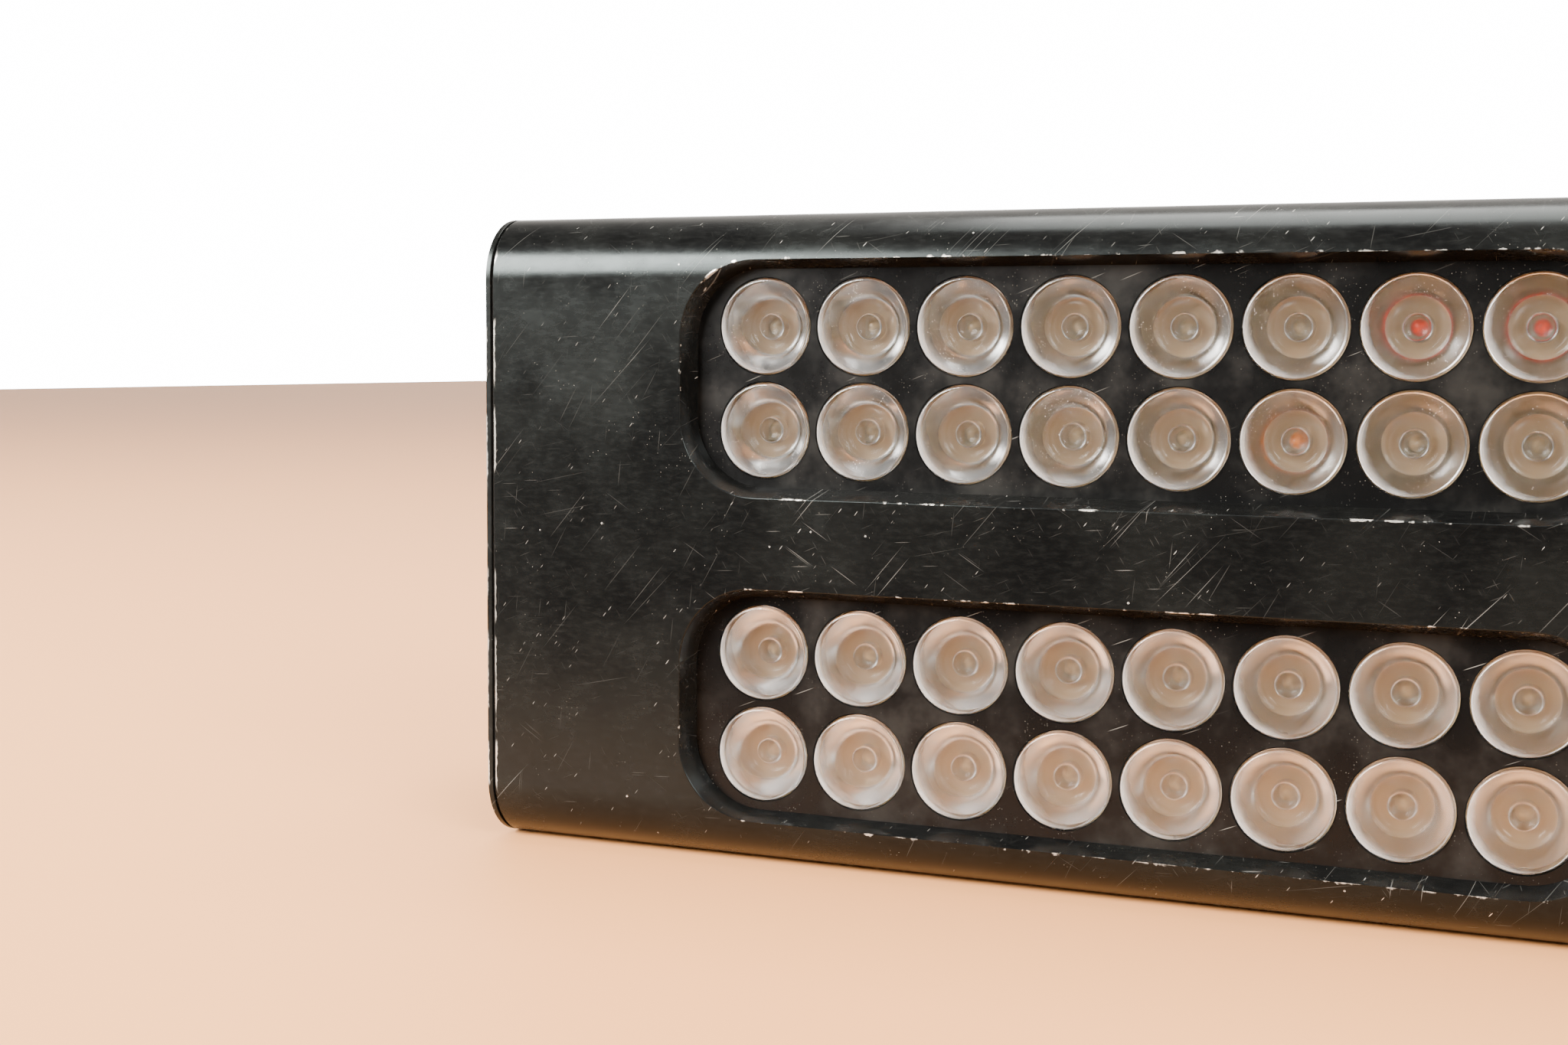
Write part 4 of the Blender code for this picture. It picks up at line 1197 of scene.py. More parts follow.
@dataclass
class Body:
    """The extruded channel with its windows, and the end plates."""

    grid: Grid
    corner: float = 15.0 * MM
    inner_corner: float = 4.4 * MM
    rear_edge: float = 2.0 * MM
    front_wall: float = 5.6 * MM
    side_wall: float = 3.0 * MM
    lip: tuple[float, float] = (3.2 * MM, 9.0 * MM)
    window: tuple[float, float, float] = (206.0 * MM, 54.5 * MM, 18.5 * MM)
    taper: float = 2.0 * MM
    edge_round: float = 0.35 * MM
    pivot_hole: float = 6.3 * MM

    def __post_init__(self) -> None:
        """Read the body's box."""
        self.low, self.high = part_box("housing_extrusion")

    def outline(self) -> list[tuple[float, float]]:
        """Return the outer outline as (y, z): large front corners and small rear ones.

        Returns:
            The closed outline's points.
        """
        front, rear = self.low.y, self.high.y
        low, high = self.low.z, self.high.z
        large, small = self.corner, self.rear_edge
        return (arc((rear - small, low + small), small, 0, -90, 5)
                + arc((front + large, low + large), large, -90, -180, 30)
                + arc((front + large, high - large), large, 180, 90, 30)
                + arc((rear - small, high - small), small, 90, 0, 5))

    def section(self) -> list[tuple[float, float]]:
        """Return the channel's section: the outline and its inner side, open to the rear.

        Returns:
            The closed section's points.
        """
        wall = self.low.y + self.front_wall
        floor, roof = self.low.z + self.side_wall, self.high.z - self.side_wall
        lip_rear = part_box("rear_panel")[0].y - 0.3 * MM
        depth, height = self.lip
        radius = self.inner_corner
        upper = [(self.high.y, roof), (lip_rear, roof), (lip_rear, roof - height),
                 (lip_rear - depth, roof - height), (lip_rear - depth, roof)]
        upper += arc((wall + radius, roof - radius), radius, 90, 180, 6)
        lower = [(y, floor + roof - z) for y, z in reversed(upper)]
        return self.outline() + upper + lower

    def window_cutter(self, height: float) -> bmesh.types.BMesh:
        """Make the tapered cutter of one window, flared where its edge is broken.

        Args:
            height: The window's middle along Z.

        Returns:
            The solid to cut out.
        """
        length, tall, radius = self.window
        front, rounding = self.low.y, self.edge_round
        sections = []
        steps = 5
        for step in range(steps + 1):
            angle = math.radians(90 * step / steps)
            flare = rounding * (1 - math.sin(angle))
            mouth = rounded((0.0, height), length + 2 * flare, tall + 2 * flare, radius + flare, 24)
            sections.append((mouth, front + rounding * (1 - math.cos(angle))))
        sections.insert(0, (sections[0][0], front - 3 * MM))
        inner = rounded((0.0, height), length - 2 * self.taper, tall - 2 * self.taper,
                        radius - self.taper, 24)
        sections += [(inner, front + self.front_wall), (inner, front + self.front_wall + MM)]
        return loft(Axis.Y, sections)

    def build_channel(self) -> None:
        """Build the extrusion and dress it as scuffed black anodising."""
        shell = make_object("body_channel", prism(Axis.X, self.section(), self.low.x,
                                                  self.high.x), finish("body"))
        carve(shell, joined(self.window_cutter(self.grid.window_height(name))
                            for name in self.grid.names))
        put(polish(shell), "anodised_body", "housing_extrusion")

    def build_end(self, side: str) -> None:
        """Build one end plate with a broken edge and its pivot hole.

        Args:
            side: The name of the side.
        """
        low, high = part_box(f"{side}_end_plate")
        plate = make_object(f"{side}_end_cover", prism(Axis.X, self.outline(), low.x, high.x),
                            finish("end"))
        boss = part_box(f"{side}_pivot_insert")
        pivot = ((boss[0].y + boss[1].y) / 2, (boss[0].z + boss[1].z) / 2)
        carve(plate, prism(Axis.X, circle(pivot, self.pivot_hole, 48), low.x - MM, high.x + MM))
        put(polish(plate, 0.2 * MM), "anodised_body", f"{side}_end_plate")

    def build(self) -> None:
        """Build the whole body."""
        self.build_channel()
        for side, _ in SIDES:
            self.build_end(side)


@dataclass
class Optics:
    """The lens plates, the moulded lens strips and the LED boards with their emitters."""

    grid: Grid
    repeater: Repeater
    hole_clearance: float = 0.35 * MM
    cone_radius: float = 4.8 * MM
    cavity_radius: float = 3.0 * MM
    cavity_depth: float = 4.3 * MM
    web: float = 1.5 * MM
    hole_flare: float = 0.25 * MM
    board_thickness: float = 1.6 * MM
    board_height: float = 51.0 * MM
    base_half: float = 1.75 * MM
    dome_radius: float = 1.5 * MM
    special: dict[tuple[str, str, int], Emitter] = field(default_factory=lambda: {
        ("upper", "top", 6): Emitter.RED, ("upper", "top", 7): Emitter.RED,
        ("upper", "bottom", 5): Emitter.AMBER})

    def lens_shape(self) -> bpy.types.Object:
        """Build one collimator about the origin: its face at y = 0, its cone behind it.

        Returns:
            The object to repeat.
        """
        radius = self.grid.lens_radius
        depth = self.grid.rear - self.grid.face
        web_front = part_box("lens_plate_upper")[1].y + 0.2 * MM - self.grid.face
        cone_start = web_front + self.web
        face = [(0.0, 0.0), (radius * 0.5, 0.02 * MM), (radius - 0.5 * MM, 0.12 * MM)]
        edge = arc((radius - 0.5 * MM, 0.62 * MM), 0.5 * MM, -90, 0, 6)
        cone = []
        steps = 14
        spread = radius - 0.5 * MM - self.cone_radius
        for step in range(steps + 1):
            t = step / steps
            cone.append((self.cone_radius + spread * math.sqrt(1 - t) * (1 - 0.12 * t),
                         cone_start + (depth - cone_start) * t))
        spring = depth - self.cavity_depth + 0.5 * MM
        cavity = [(self.cavity_radius + 0.25 * MM, depth), (self.cavity_radius, spring)]
        crown = [(self.cavity_radius * math.cos(math.radians(a)),
                  spring + 0.9 * MM * math.sin(math.radians(a))) for a in (20, 40, 60, 80)]
        top = [(0.0, depth - self.cavity_depth + 1.4 * MM)]
        profile = face + edge + [(radius, cone_start)] + cone + cavity + crown + top
        lens = make_object("lens_shape", turned(Axis.Y, (0.0, 0.0), profile, 56))
        lens.data.shade_smooth()
        lens.data.set_sharp_from_angle(angle=math.radians(50))
        return lens

    def build_strips(self) -> None:
        """Lay the collimators out, eight to a strip."""
        for window in self.grid.names:
            for row in ("top", "bottom"):
                centre = (0.0, self.grid.face, self.grid.row_height(window, row))
                strip = self.repeater.grid(
                    f"lenses_{window}_{row}", self.lens_shape(), finish(f"lens_{window}"),
                    self.grid.columns, 1, (self.grid.pitch, self.grid.pitch), centre)
                put(strip, "lens_clear", f"lens_strip_{window}_{row}")

    def build_plates(self) -> None:
        """Build both lens plates with their round, lightly countersunk holes."""
        for window in self.grid.names:
            low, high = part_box(f"lens_plate_{window}")
            middle = self.grid.window_height(window)
            plate = make_object(f"lens_holder_{window}", prism(
                Axis.Y, rounded((0.0, middle), high.x - low.x, high.z - low.z, 4 * MM), low.y,
                high.y), finish("plate"))
            radius = self.grid.lens_radius + self.hole_clearance
            mouth = circle((0, 0), radius + self.hole_flare, 56)
            bore = circle((0, 0), radius, 56)
            cutter = make_object("hole_shape", loft(Axis.Y, [
                (mouth, -MM), (mouth, 0.0), (bore, self.hole_flare), (bore, 4 * MM)]))
            holes = self.repeater.grid("holes", cutter, finish("plate"), self.grid.columns, 2,
                                       (self.grid.pitch, self.grid.pitch), (0.0, low.y, middle))
            put(polish(carve(plate, as_solid(holes))), "lens_plate", f"lens_plate_{window}")

    def ceramic_shape(self) -> bpy.types.Object:
        """Build one LED's ceramic base about its board's face.

        Returns:
            The object to repeat.
        """
        half = self.base_half
        return make_object("ceramic_shape", block((-half, -0.9 * MM, -half),
                                                  (half, 0.05 * MM, half)))

    def dome_shape(self) -> bpy.types.Object:
        """Build one LED's dome about its board's face.

        Returns:
            The object to repeat.
        """
        radius = self.dome_radius
        curve = [(radius * math.cos(math.radians(a)),
                  (-0.95 - 1.4 * math.sin(math.radians(a))) * MM) for a in (0, 20, 40, 60, 78)]
        profile = [(radius, -0.85 * MM), *curve, (0.0, -2.35 * MM)]
        dome = make_object("dome_shape", turned(Axis.Y, (0.0, 0.0), profile, 24))
        dome.data.shade_smooth()
        return dome

    def build_boards(self) -> None:
        """Build both LED boards: the CAD board's plate, then bases and domes by colour."""
        for window in self.grid.names:
            low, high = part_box(f"led_board_{window}")
            face = high.y - self.board_thickness
            middle = self.grid.window_height(window)
            plate = make_object(f"emitter_board_{window}", prism(
                Axis.Y, rounded(((low.x + high.x) / 2, middle), high.x - low.x, self.board_height,
                                2 * MM, 4), face, high.y), finish("board"))
            put(polish(plate, 0.15 * MM), "led_board", f"led_board_{window}")
            points: dict[Emitter, list[tuple[float, float, float]]] = {}
            for row in ("top", "bottom"):
                for column in range(self.grid.columns):
                    kind = self.special.get((window, row, column), Emitter.WARM_WHITE)
                    points.setdefault(kind, []).append(
                        (self.grid.column_place(column), face, self.grid.row_height(window, row)))
            every = [point for group in points.values() for point in group]
            bases = self.repeater.at_points(f"emitter_bases_{window}",
                                            self.ceramic_shape(), finish("ceramic"), every)
            put(bases, "led_board")
            for kind, group in points.items():
                label = kind.name.lower()
                dome_finish = EmitterDome(f"emitter_{label}", kind.value, 0.3).build()
                domes = self.repeater.at_points(f"domes_{window}_{label}",
                                                self.dome_shape(), dome_finish, group)
                put(domes, "led_board")

    def build(self) -> None:
        """Build everything behind the windows."""
        self.build_plates()
        self.build_strips()
        self.build_boards()


@dataclass
class Screws:
    """The button-head screws of both ends and of the rear panel, with hexagon sockets."""

    repeater: Repeater
    radius: float = 3.7 * MM
    hexagon: float = 1.45 * MM
    low_head: float = 1.1 * MM
    full_head: float = 2.2 * MM

    def shape(self, height: float) -> bpy.types.Object:
        """Build one screw about the origin, its head facing +Y.

        Args:
            height: The height of the head.

        Returns:
            The object to repeat.
        """
        profile = [(0.0, -2 * MM), (1.4 * MM, -2 * MM), (1.4 * MM, 0.0), (self.radius, 0.0),
                   (self.radius, height * 0.3), (self.radius * 0.7, height * 0.82), (0.0, height)]
        head = make_object("screw_shape", turned(
            Axis.Y, (0.0, 0.0), rounded_profile(profile, 0.4 * MM), 32))
        carve(head, prism(Axis.Y, circle((0.0, 0.0), self.hexagon, 6), height * 0.2, height + MM))
        return polish(head, 0.06 * MM, 1)

    def build_set(self, name: str, nodes: Sequence[str], height: float, outward: Vector) -> None:
        """Put one screw on each node.

        Args:
            name: The new piece's name.
            nodes: The CAD screws that it stands for.
            height: The height of their heads.
            outward: The way their heads face.
        """
        points = []
        for node in nodes:
            low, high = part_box(node)
            reach = [high[i] if outward[i] > 0 else low[i] for i in range(3)]
            points.append([reach[i] - outward[i] * height if outward[i] else
                           (low[i] + high[i]) / 2 for i in range(3)])
        turn = (0.0, 0.0, math.atan2(-outward.x, outward.y))
        put(self.repeater.at_points(name, self.shape(height), finish("black_oxide"), points, turn),
            "black_screw", *nodes)

    def build(self) -> None:
        """Build every screw."""
        self.build_set("panel_screws", [f"rear_panel_screw_{n}" for n in range(1, 7)],
                       self.full_head, Vector((0, 1, 0)))
        for side, outward in SIDES:
            self.build_set(f"{side}_end_screws", [f"{side}_end_screw_{n}" for n in range(1, 5)],
                           self.low_head, Vector((outward, 0, 0)))


@dataclass
class RearPanel:
    """The powder-coated rear panel with its vents and cut-outs, and the display glazing."""

    repeater: Repeater
    vent: tuple[float, float] = (3.6 * MM, 22.0 * MM)
    vent_pitch: tuple[float, float] = (10.5 * MM, 32.0 * MM)
    vent_middle: float = 87.0 * MM
    vent_columns: int = 23
    power_hole: tuple[float, float] = (28.6 * MM, 20.6 * MM)
    data_hole: float = 12.1 * MM
    fuse_hole: float = 6.6 * MM
    stud_hole: float = 2.6 * MM
    button_hole: float = 4.4 * MM
    screw_hole: float = 2.1 * MM
    display_gap: float = 0.3 * MM

    @staticmethod
    def centre(node: str) -> tuple[float, float]:
        """Return a node's centre as (x, z)."""
        low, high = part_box(node)
        return ((low.x + high.x) / 2, (low.z + high.z) / 2)

    def cut_outs(self) -> list[Outline]:
        """Return the outline of every opening except the vents.

        Returns:
            The outlines as (x, z) points.
        """
        holes = [rounded(self.centre(f"power_{way}"), *self.power_hole, 2 * MM, 4) for way in WAYS]
        holes += [circle(self.centre(f"data_{way}"), self.data_hole, 48) for way in WAYS]
        holes += [circle(self.centre("fuse_holder"), self.fuse_hole, 32),
                  circle(self.centre("earth_stud"), self.stud_hole, 24)]
        holes += [circle(self.centre(f"button_{name}"), self.button_hole, 32) for name in BUTTONS]
        holes += [circle(self.centre(f"rear_panel_screw_{n}"), self.screw_hole, 16)
                  for n in range(1, 7)]
        low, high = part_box("display_window")
        gap = 2 * self.display_gap
        return holes + [rounded(self.centre("display_window"), high.x - low.x + gap,
                                high.z - low.z + gap, 0.8 * MM, 4)]

    def build(self) -> None:
        """Build the panel and its glazing."""
        low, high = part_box("rear_panel")
        panel = make_object("rear_cover", prism(Axis.Y, rounded(
            self.centre("rear_panel"), high.x - low.x, high.z - low.z, 0.6 * MM, 3),
            low.y, high.y), finish("powder"))
        slot = make_object("vent_shape", prism(Axis.Y, rounded(
            (0.0, 0.0), *self.vent, self.vent[0] / 2 - 0.01 * MM, 6), -MM, 4 * MM))
        vents = self.repeater.grid("vents", slot, finish("powder"), self.vent_columns, 2,
                                   self.vent_pitch, (0.0, low.y, self.vent_middle))
        carve(panel, as_solid(vents))
        carve(panel, joined(prism(Axis.Y, hole, low.y - MM, high.y + MM)
                            for hole in self.cut_outs()))
        put(polish(panel, 0.25 * MM), "powder_coat", "rear_panel")
        low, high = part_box("display_window")
        glass = make_object("display_glass", prism(Axis.Y, rounded(
            self.centre("display_window"), high.x - low.x, high.z - low.z, 0.6 * MM, 4),
            low.y, high.y), finish("glazing"))
        put(polish(glass, 0.2 * MM), "display_glazing", "display_window")


@dataclass
class Sockets:
    """Mains and data connectors, with their blades, pins and push latch."""

    power_flange: tuple[float, float] = (34.0 * MM, 27.0 * MM)
    power_barrel: tuple[float, float] = (28.0 * MM, 20.0 * MM)
    power_recess: tuple[float, float] = (24.2 * MM, 16.4 * MM)
    blade: tuple[float, float] = (2.0 * MM, 4.0 * MM)
    blade_slot: tuple[float, float] = (2.6 * MM, 5.4 * MM)
    data_flange: tuple[float, float] = (26.0 * MM, 31.0 * MM)
    data_barrel: float = 11.8 * MM
    data_recess: float = 9.4 * MM
    pin_circle: float = 5.2 * MM
    pin: float = 1.2 * MM
    pin_hole: float = 1.6 * MM
    recess_floor: float = 30.5 * MM
    slot_floor: float = 31.5 * MM
    contact_root: float = 29.8 * MM
    flange_start: float = field(init=False)

    def __post_init__(self) -> None:
        """Read the plane that the flanges start from."""
        self.flange_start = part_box("rear_panel")[1].y + 0.3 * MM

    def build_moulding(self, node: str, flange: Outline, barrel: Outline,
                       openings: Iterable[tuple[Outline, float]]) -> None:
        """Build one connector's moulding.

        Args:
            node: The CAD node.
            flange: The outline of its flange.
            barrel: The outline of the part behind the panel.
            openings: Outlines cut into it, each with the place of its floor along Y.
        """
        low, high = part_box(node)
        moulding = make_object(f"{node}_moulding", prism(Axis.Y, flange, self.flange_start,
                                                         high.y), finish("socket"))
        carve(moulding, prism(Axis.Y, barrel, low.y, self.flange_start + 0.5 * MM), "UNION")
        carve(moulding, joined(prism(Axis.Y, outline, floor, high.y + MM)
                               for outline, floor in openings))
        put(polish(moulding, 0.3 * MM), "moulded_black", node)

    def build_contacts(self, name: str, outlines: Iterable[Outline], reach: float) -> None:
        """Build the plated contacts in a recess.

        Args:
            name: The new piece's name.
            outlines: Each contact's outline.
            reach: The place of their tips along Y.
        """
        contacts = make_object(name, joined(prism(Axis.Y, outline, self.contact_root, reach)
                                            for outline in outlines), finish("nickel"))
        put(polish(contacts, 0.25 * MM), "plated_metal")

    def build_power(self, way: str) -> None:
        """Build a mains connector: an inlet with blades, or an outlet with slots.

        Args:
            way: Which connector, by its end of the circuit.
        """
        node = f"power_{way}"
        x, z = RearPanel.centre(node)
        blades = [(x - 7 * MM, z - 1.5 * MM), (x, z + 2.5 * MM), (x + 7 * MM, z - 1.5 * MM)]
        if way == "inlet":
            openings = [(rounded((x, z), *self.power_recess, 3.5 * MM, 6), self.recess_floor)]
            self.build_contacts("power_inlet_blades", [
                rounded(place, *self.blade, 0.3 * MM, 3) for place in blades], 39.5 * MM)
        else:
            openings = [(rounded(place, *self.blade_slot, 0.5 * MM, 3), self.slot_floor)
                        for place in blades]
        self.build_moulding(node, rounded((x, z), *self.power_flange, 3 * MM, 8),
                            rounded((x, z), *self.power_barrel, 1.5 * MM, 4), openings)

    def build_data(self, way: str) -> None:
        """Build a round data connector: an inlet with pins, or an outlet with holes.

        Args:
            way: Which connector, by its end of the circuit.
        """
        node = f"data_{way}"
        x, z = RearPanel.centre(node)
        places = [(x + self.pin_circle * math.cos(math.radians(a)),
                   z + self.pin_circle * math.sin(math.radians(a))) for a in (-90, 18, 162)]
        if way == "inlet":
            openings = [(circle((x, z), self.data_recess, 48), self.recess_floor)]
            self.build_contacts("data_inlet_pins", [circle(place, self.pin, 20)
                                                    for place in places], 40.5 * MM)
        else:
            openings = [(circle(place, self.pin_hole, 20), self.slot_floor) for place in places]
            openings.append((rounded((x, z + 9.7 * MM), 6.8 * MM, 3.4 * MM, 0.4 * MM, 3),
                             41.3 * MM))
        self.build_moulding(node, rounded((x, z), *self.data_flange, 2 * MM, 6),
                            circle((x, z), self.data_barrel, 48), openings)

    def build_latch(self) -> None:
        """Build the data outlet's push latch."""
        low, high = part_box("data_latch")
        latch = make_object("latch_tab", prism(Axis.Y, rounded(
            RearPanel.centre("data_latch"), high.x - low.x, high.z - low.z, 0.5 * MM, 4),
            low.y, high.y), finish("nickel"))
        put(polish(latch, 0.3 * MM), "plated_metal", "data_latch", body="data_latch")

    def build(self) -> None:
        """Build every connector."""
        for way in WAYS:
            self.build_power(way)
            self.build_data(way)
        self.build_latch()


@dataclass
class SmallFittings:
    """Fuse holder and cap, earth stud, safety eye and menu buttons."""

    eye_hole: float = 6.5 * MM
    tongue: float = 10.5 * MM
    tongue_thickness: float = 4.0 * MM
    foot: tuple[float, float] = (24.0 * MM, 13.0 * MM)
    cap_radius: float = 7.0 * MM
    cap_plug: float = 5.0 * MM
    cap_slot: tuple[float, float] = (4.8 * MM, 0.6 * MM)
    stud_thread: tuple[float, float] = (2.3 * MM, 2.05 * MM)
    thread_pitch: float = 0.4 * MM
    button_radius: float = 4.1 * MM

    def build_fuse(self) -> None:
        """Build the fuse holder and its slotted cap."""
        centre = RearPanel.centre("fuse_holder")
        low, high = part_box("fuse_holder")
        profile = [(0.0, low.y), (6.2 * MM, low.y), (6.2 * MM, high.y - 1.5 * MM),
                   (8.6 * MM, high.y - 1.5 * MM), (8.6 * MM, high.y), (5.08 * MM, high.y),
                   (5.08 * MM, low.y + 2 * MM), (0.0, low.y + 2 * MM)]
        holder = make_object("fuse_holder_moulding", turned(
            Axis.Y, centre, rounded_profile(profile, 0.4 * MM), 64), finish("socket"))
        put(polish(holder), "moulded_black", "fuse_holder")
        low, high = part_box("fuse_cap")
        seat = high.y - 4.2 * MM
        profile = [(0.0, high.y), (self.cap_radius, high.y), (self.cap_radius, seat),
                   (self.cap_plug, seat), (self.cap_plug, low.y), (0.0, low.y)]
        cap = make_object("fuse_cap_moulding", turned(
            Axis.Y, centre, rounded_profile(profile, 0.8 * MM), 64), finish("knob"))
        length, width = self.cap_slot
        slot = block((centre[0] - length, seat + 2.7 * MM, centre[1] - width),
                     (centre[0] + length, seat + 6 * MM, centre[1] + width))
        places = circle(centre, self.cap_radius + 0.3 * MM, 18)
        grips = [prism(Axis.Y, circle(place, 0.55 * MM, 12), seat - MM, high.y + MM)
                 for place in places]
        carve(cap, joined([slot, *grips]))
        put(polish(cap, 0.1 * MM), "moulded_black", "fuse_cap", body="fuse_cap")

    def build_earth(self) -> None:
        """Build the earth stud with its nut."""
        centre = RearPanel.centre("earth_stud")
        low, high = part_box("earth_stud")
        seat = high.y - 8.5 * MM
        stud = make_object("earth_stud_metal", prism(Axis.Y, circle(centre, 4.6 * MM, 6), seat,
                                                     seat + 4.2 * MM), finish("nickel"))
        crest, root = self.stud_thread
        pitch = self.thread_pitch
        rod = [(0.0, low.y), (crest, low.y)]
        for turn in range(int((high.y - low.y - MM) / pitch)):
            rod += [(crest, low.y + pitch * turn), (root, low.y + pitch * (turn + 0.5))]
        rod += [(1.8 * MM, high.y), (0.0, high.y)]
        carve(stud, turned(Axis.Y, centre, rod, 24), "UNION")
        put(polish(stud, 0.15 * MM, 1), "plated_metal", "earth_stud")

    def build_eye(self) -> None:
        """Build the safety eye: a screwed foot with a round tongue."""
        low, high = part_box("safety_eye")
        middle = RearPanel.centre("safety_eye")[1]
        foot = make_object("safety_eye_steel", prism(Axis.Y, rounded(
            (0.0, middle), *self.foot, 2.5 * MM, 6), low.y, low.y + 2.5 * MM),
            finish("yoke"))
        hole = (high.y - self.tongue, middle)
        outline = arc(hole, self.tongue, -90, 90, 28) + [
            (low.y + 1.5 * MM, middle + 0.6 * self.tongue),
            (low.y + 1.5 * MM, middle - 0.6 * self.tongue)]
        half = self.tongue_thickness / 2
        carve(foot, prism(Axis.X, outline, -half, half), "UNION")
        carve(foot, prism(Axis.X, circle(hole, self.eye_hole, 48), -2 * half, 2 * half))
        put(polish(foot, 0.5 * MM, 3), "coated_steel", "safety_eye")

    def build_buttons(self) -> None:
        """Build the four menu buttons, each with a dished top."""
        for name in BUTTONS:
            node = f"button_{name}"
            low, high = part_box(node)
            radius, skirt = self.button_radius, (high.x - low.x) / 2
            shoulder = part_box("rear_panel")[0].y - 0.3 * MM
            profile = [(0.0, high.y - 0.35 * MM), (radius * 0.55, high.y - 0.2 * MM),
                       (radius * 0.82, high.y), (radius, high.y - 0.2 * MM), (radius, shoulder),
                       (skirt, shoulder), (skirt, shoulder - MM), (2 * MM, shoulder - MM),
                       (2 * MM, low.y), (0.0, low.y)]
            button = make_object(f"{node}_cap", turned(
                Axis.Y, RearPanel.centre(node), rounded_profile(profile, 0.5 * MM), 48),
                finish("button"))
            put(polish(button), "button_grey", node, body=node)

    def build(self) -> None:
        """Build every small fitting."""
        self.build_fuse()
        self.build_earth()
        self.build_eye()
        self.build_buttons()


@dataclass
class Mounting:
    """The tilt yoke, and at each end its insert, friction washer and knob."""

    thickness: float = 3.0 * MM
    bend: float = 9.0 * MM
    hole: float = 5.25 * MM
    slot: tuple[float, float, float] = (26.0 * MM, 6.6 * MM, 45.0 * MM)
    lobes: int = 6
    lobe_depth: float = 1.3 * MM
    knob_radius: float = 16.5 * MM
    knob_sides: int = 144
    stud: float = 3.92 * MM                # an M8 stud, clear of its insert
    hub: float = 10.5 * MM
    arm_hole: float = 6.08 * MM
    washer_hole: float = 6.3 * MM

    def __post_init__(self) -> None:
        """Read the pivot's height."""
        low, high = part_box("yoke")
        self.low, self.high = low, high
        self.pivot = (0.0, (low.z + high.z) / 2)

    def strip_outline(self) -> list[tuple[float, float]]:
        """Return the bent strip seen from above, as (x, y).

        Returns:
            The closed outline's points.
        """
        outer_x, outer_y = self.high.x, self.high.y
        inner_x, inner_y = outer_x - self.thickness, outer_y - self.thickness
        large, small = self.bend, self.bend - self.thickness
        return ([(outer_x, self.low.y)]
                + arc((outer_x - large, outer_y - large), large, 0, 90, 16)
                + arc((large - outer_x, outer_y - large), large, 90, 180, 16)
                + [(-outer_x, self.low.y), (-inner_x, self.low.y)]
                + arc((small - inner_x, inner_y - small), small, 180, 90, 16)
                + arc((inner_x - small, inner_y - small), small, 90, 0, 16)
                + [(inner_x, self.low.y)])

    def build_yoke(self) -> None:
        """Build the yoke with its round arm ends, bolt hole and slots."""
        half = (self.high.z - self.low.z) / 2
        middle = self.pivot[1]
        yoke = make_object("yoke_strip", prism(Axis.Z, self.strip_outline(), self.low.z,
                                               self.high.z), finish("yoke"))
        beyond = self.high.y + 10 * MM
        keep = arc(self.pivot, half, 90, 270, 40) + [(beyond, middle - half - MM),
                                                     (beyond, middle + half + MM)]
        carve(yoke, prism(Axis.X, keep, self.low.x - 10 * MM, self.high.x + 10 * MM), "INTERSECT")
        cutters = [prism(Axis.X, circle(self.pivot, self.arm_hole, 64), self.low.x - MM,
                         self.high.x + MM)]
        length, width, offset = self.slot
        openings = [circle((0.0, middle), self.hole, 48)] + [
            rounded((side * offset, middle), length, width, width / 2 - 0.05 * MM, 12)
            for side in (-1, 1)]
        cutters += [prism(Axis.Y, opening, self.high.y - 5 * MM, self.high.y + MM)
                    for opening in openings]
        carve(yoke, joined(cutters))
        put(polish(yoke, 0.5 * MM, 3), "coated_steel", "yoke", body="yoke")

    def lobed(self, grow: float) -> list[tuple[float, float]]:
        """Return the knob's gripping outline as (y, z).

        Args:
            grow: How far the outline is moved outwards.

        Returns:
            The closed outline's points.
        """
        points = []
        for number in range(self.knob_sides):
            angle = 2 * math.pi * number / self.knob_sides
            radius = self.knob_radius + grow + self.lobe_depth * math.cos(self.lobes * angle)
            points.append((self.pivot[0] + radius * math.cos(angle),
                           self.pivot[1] + radius * math.sin(angle)))
        return points

    def build_knob(self, side: str, outward: int) -> None:
        """Build one knob: a lobed grip with a domed face, on a round hub and a stud.

        Args:
            side: The name of the side.
            outward: Its direction along X, -1 or 1.
        """
        low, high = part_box(f"{side}_tilt_knob")
        tip = high.x if outward > 0 else low.x
        seat = (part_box("yoke")[1].x if outward > 0 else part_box("yoke")[0].x) + outward * 0.3 * MM
        length = abs(tip - seat)
        back = [(-1.6, 4.0), (-0.7, 4.5), (-0.15, 5.4), (0.0, 6.5)]
        dome = [(-0.25, -2.2), (-0.9, -1.2), (-1.9, -0.4), (-3.0, 0.0)]
        grip = [(self.lobed(grow * MM), seat + outward * along * MM) for grow, along in back]
        grip += [(self.lobed(grow * MM), seat + outward * (length + along * MM))
                 for grow, along in dome]
        knob = make_object(f"{side}_knob", loft(Axis.X, grip), finish("knob"))
        start = low.x if outward > 0 else high.x
        stem = [(0.0, start), (self.stud, start), (self.stud, seat), (self.hub, seat),
                (self.hub, seat + outward * 5 * MM), (0.0, seat + outward * 5 * MM)]
        carve(knob, turned(Axis.X, self.pivot, stem, 64), "UNION")
        dish = [(0.0, tip - outward * 0.8 * MM), (8.0 * MM, tip - outward * 0.8 * MM),
                (8.4 * MM, tip + outward * MM), (0.0, tip + outward * MM)]
        carve(knob, turned(Axis.X, self.pivot, dish, 64))
        name = f"{side}_tilt_knob"
        put(polish(knob, 0.2 * MM), "knob_black", name, body=name)

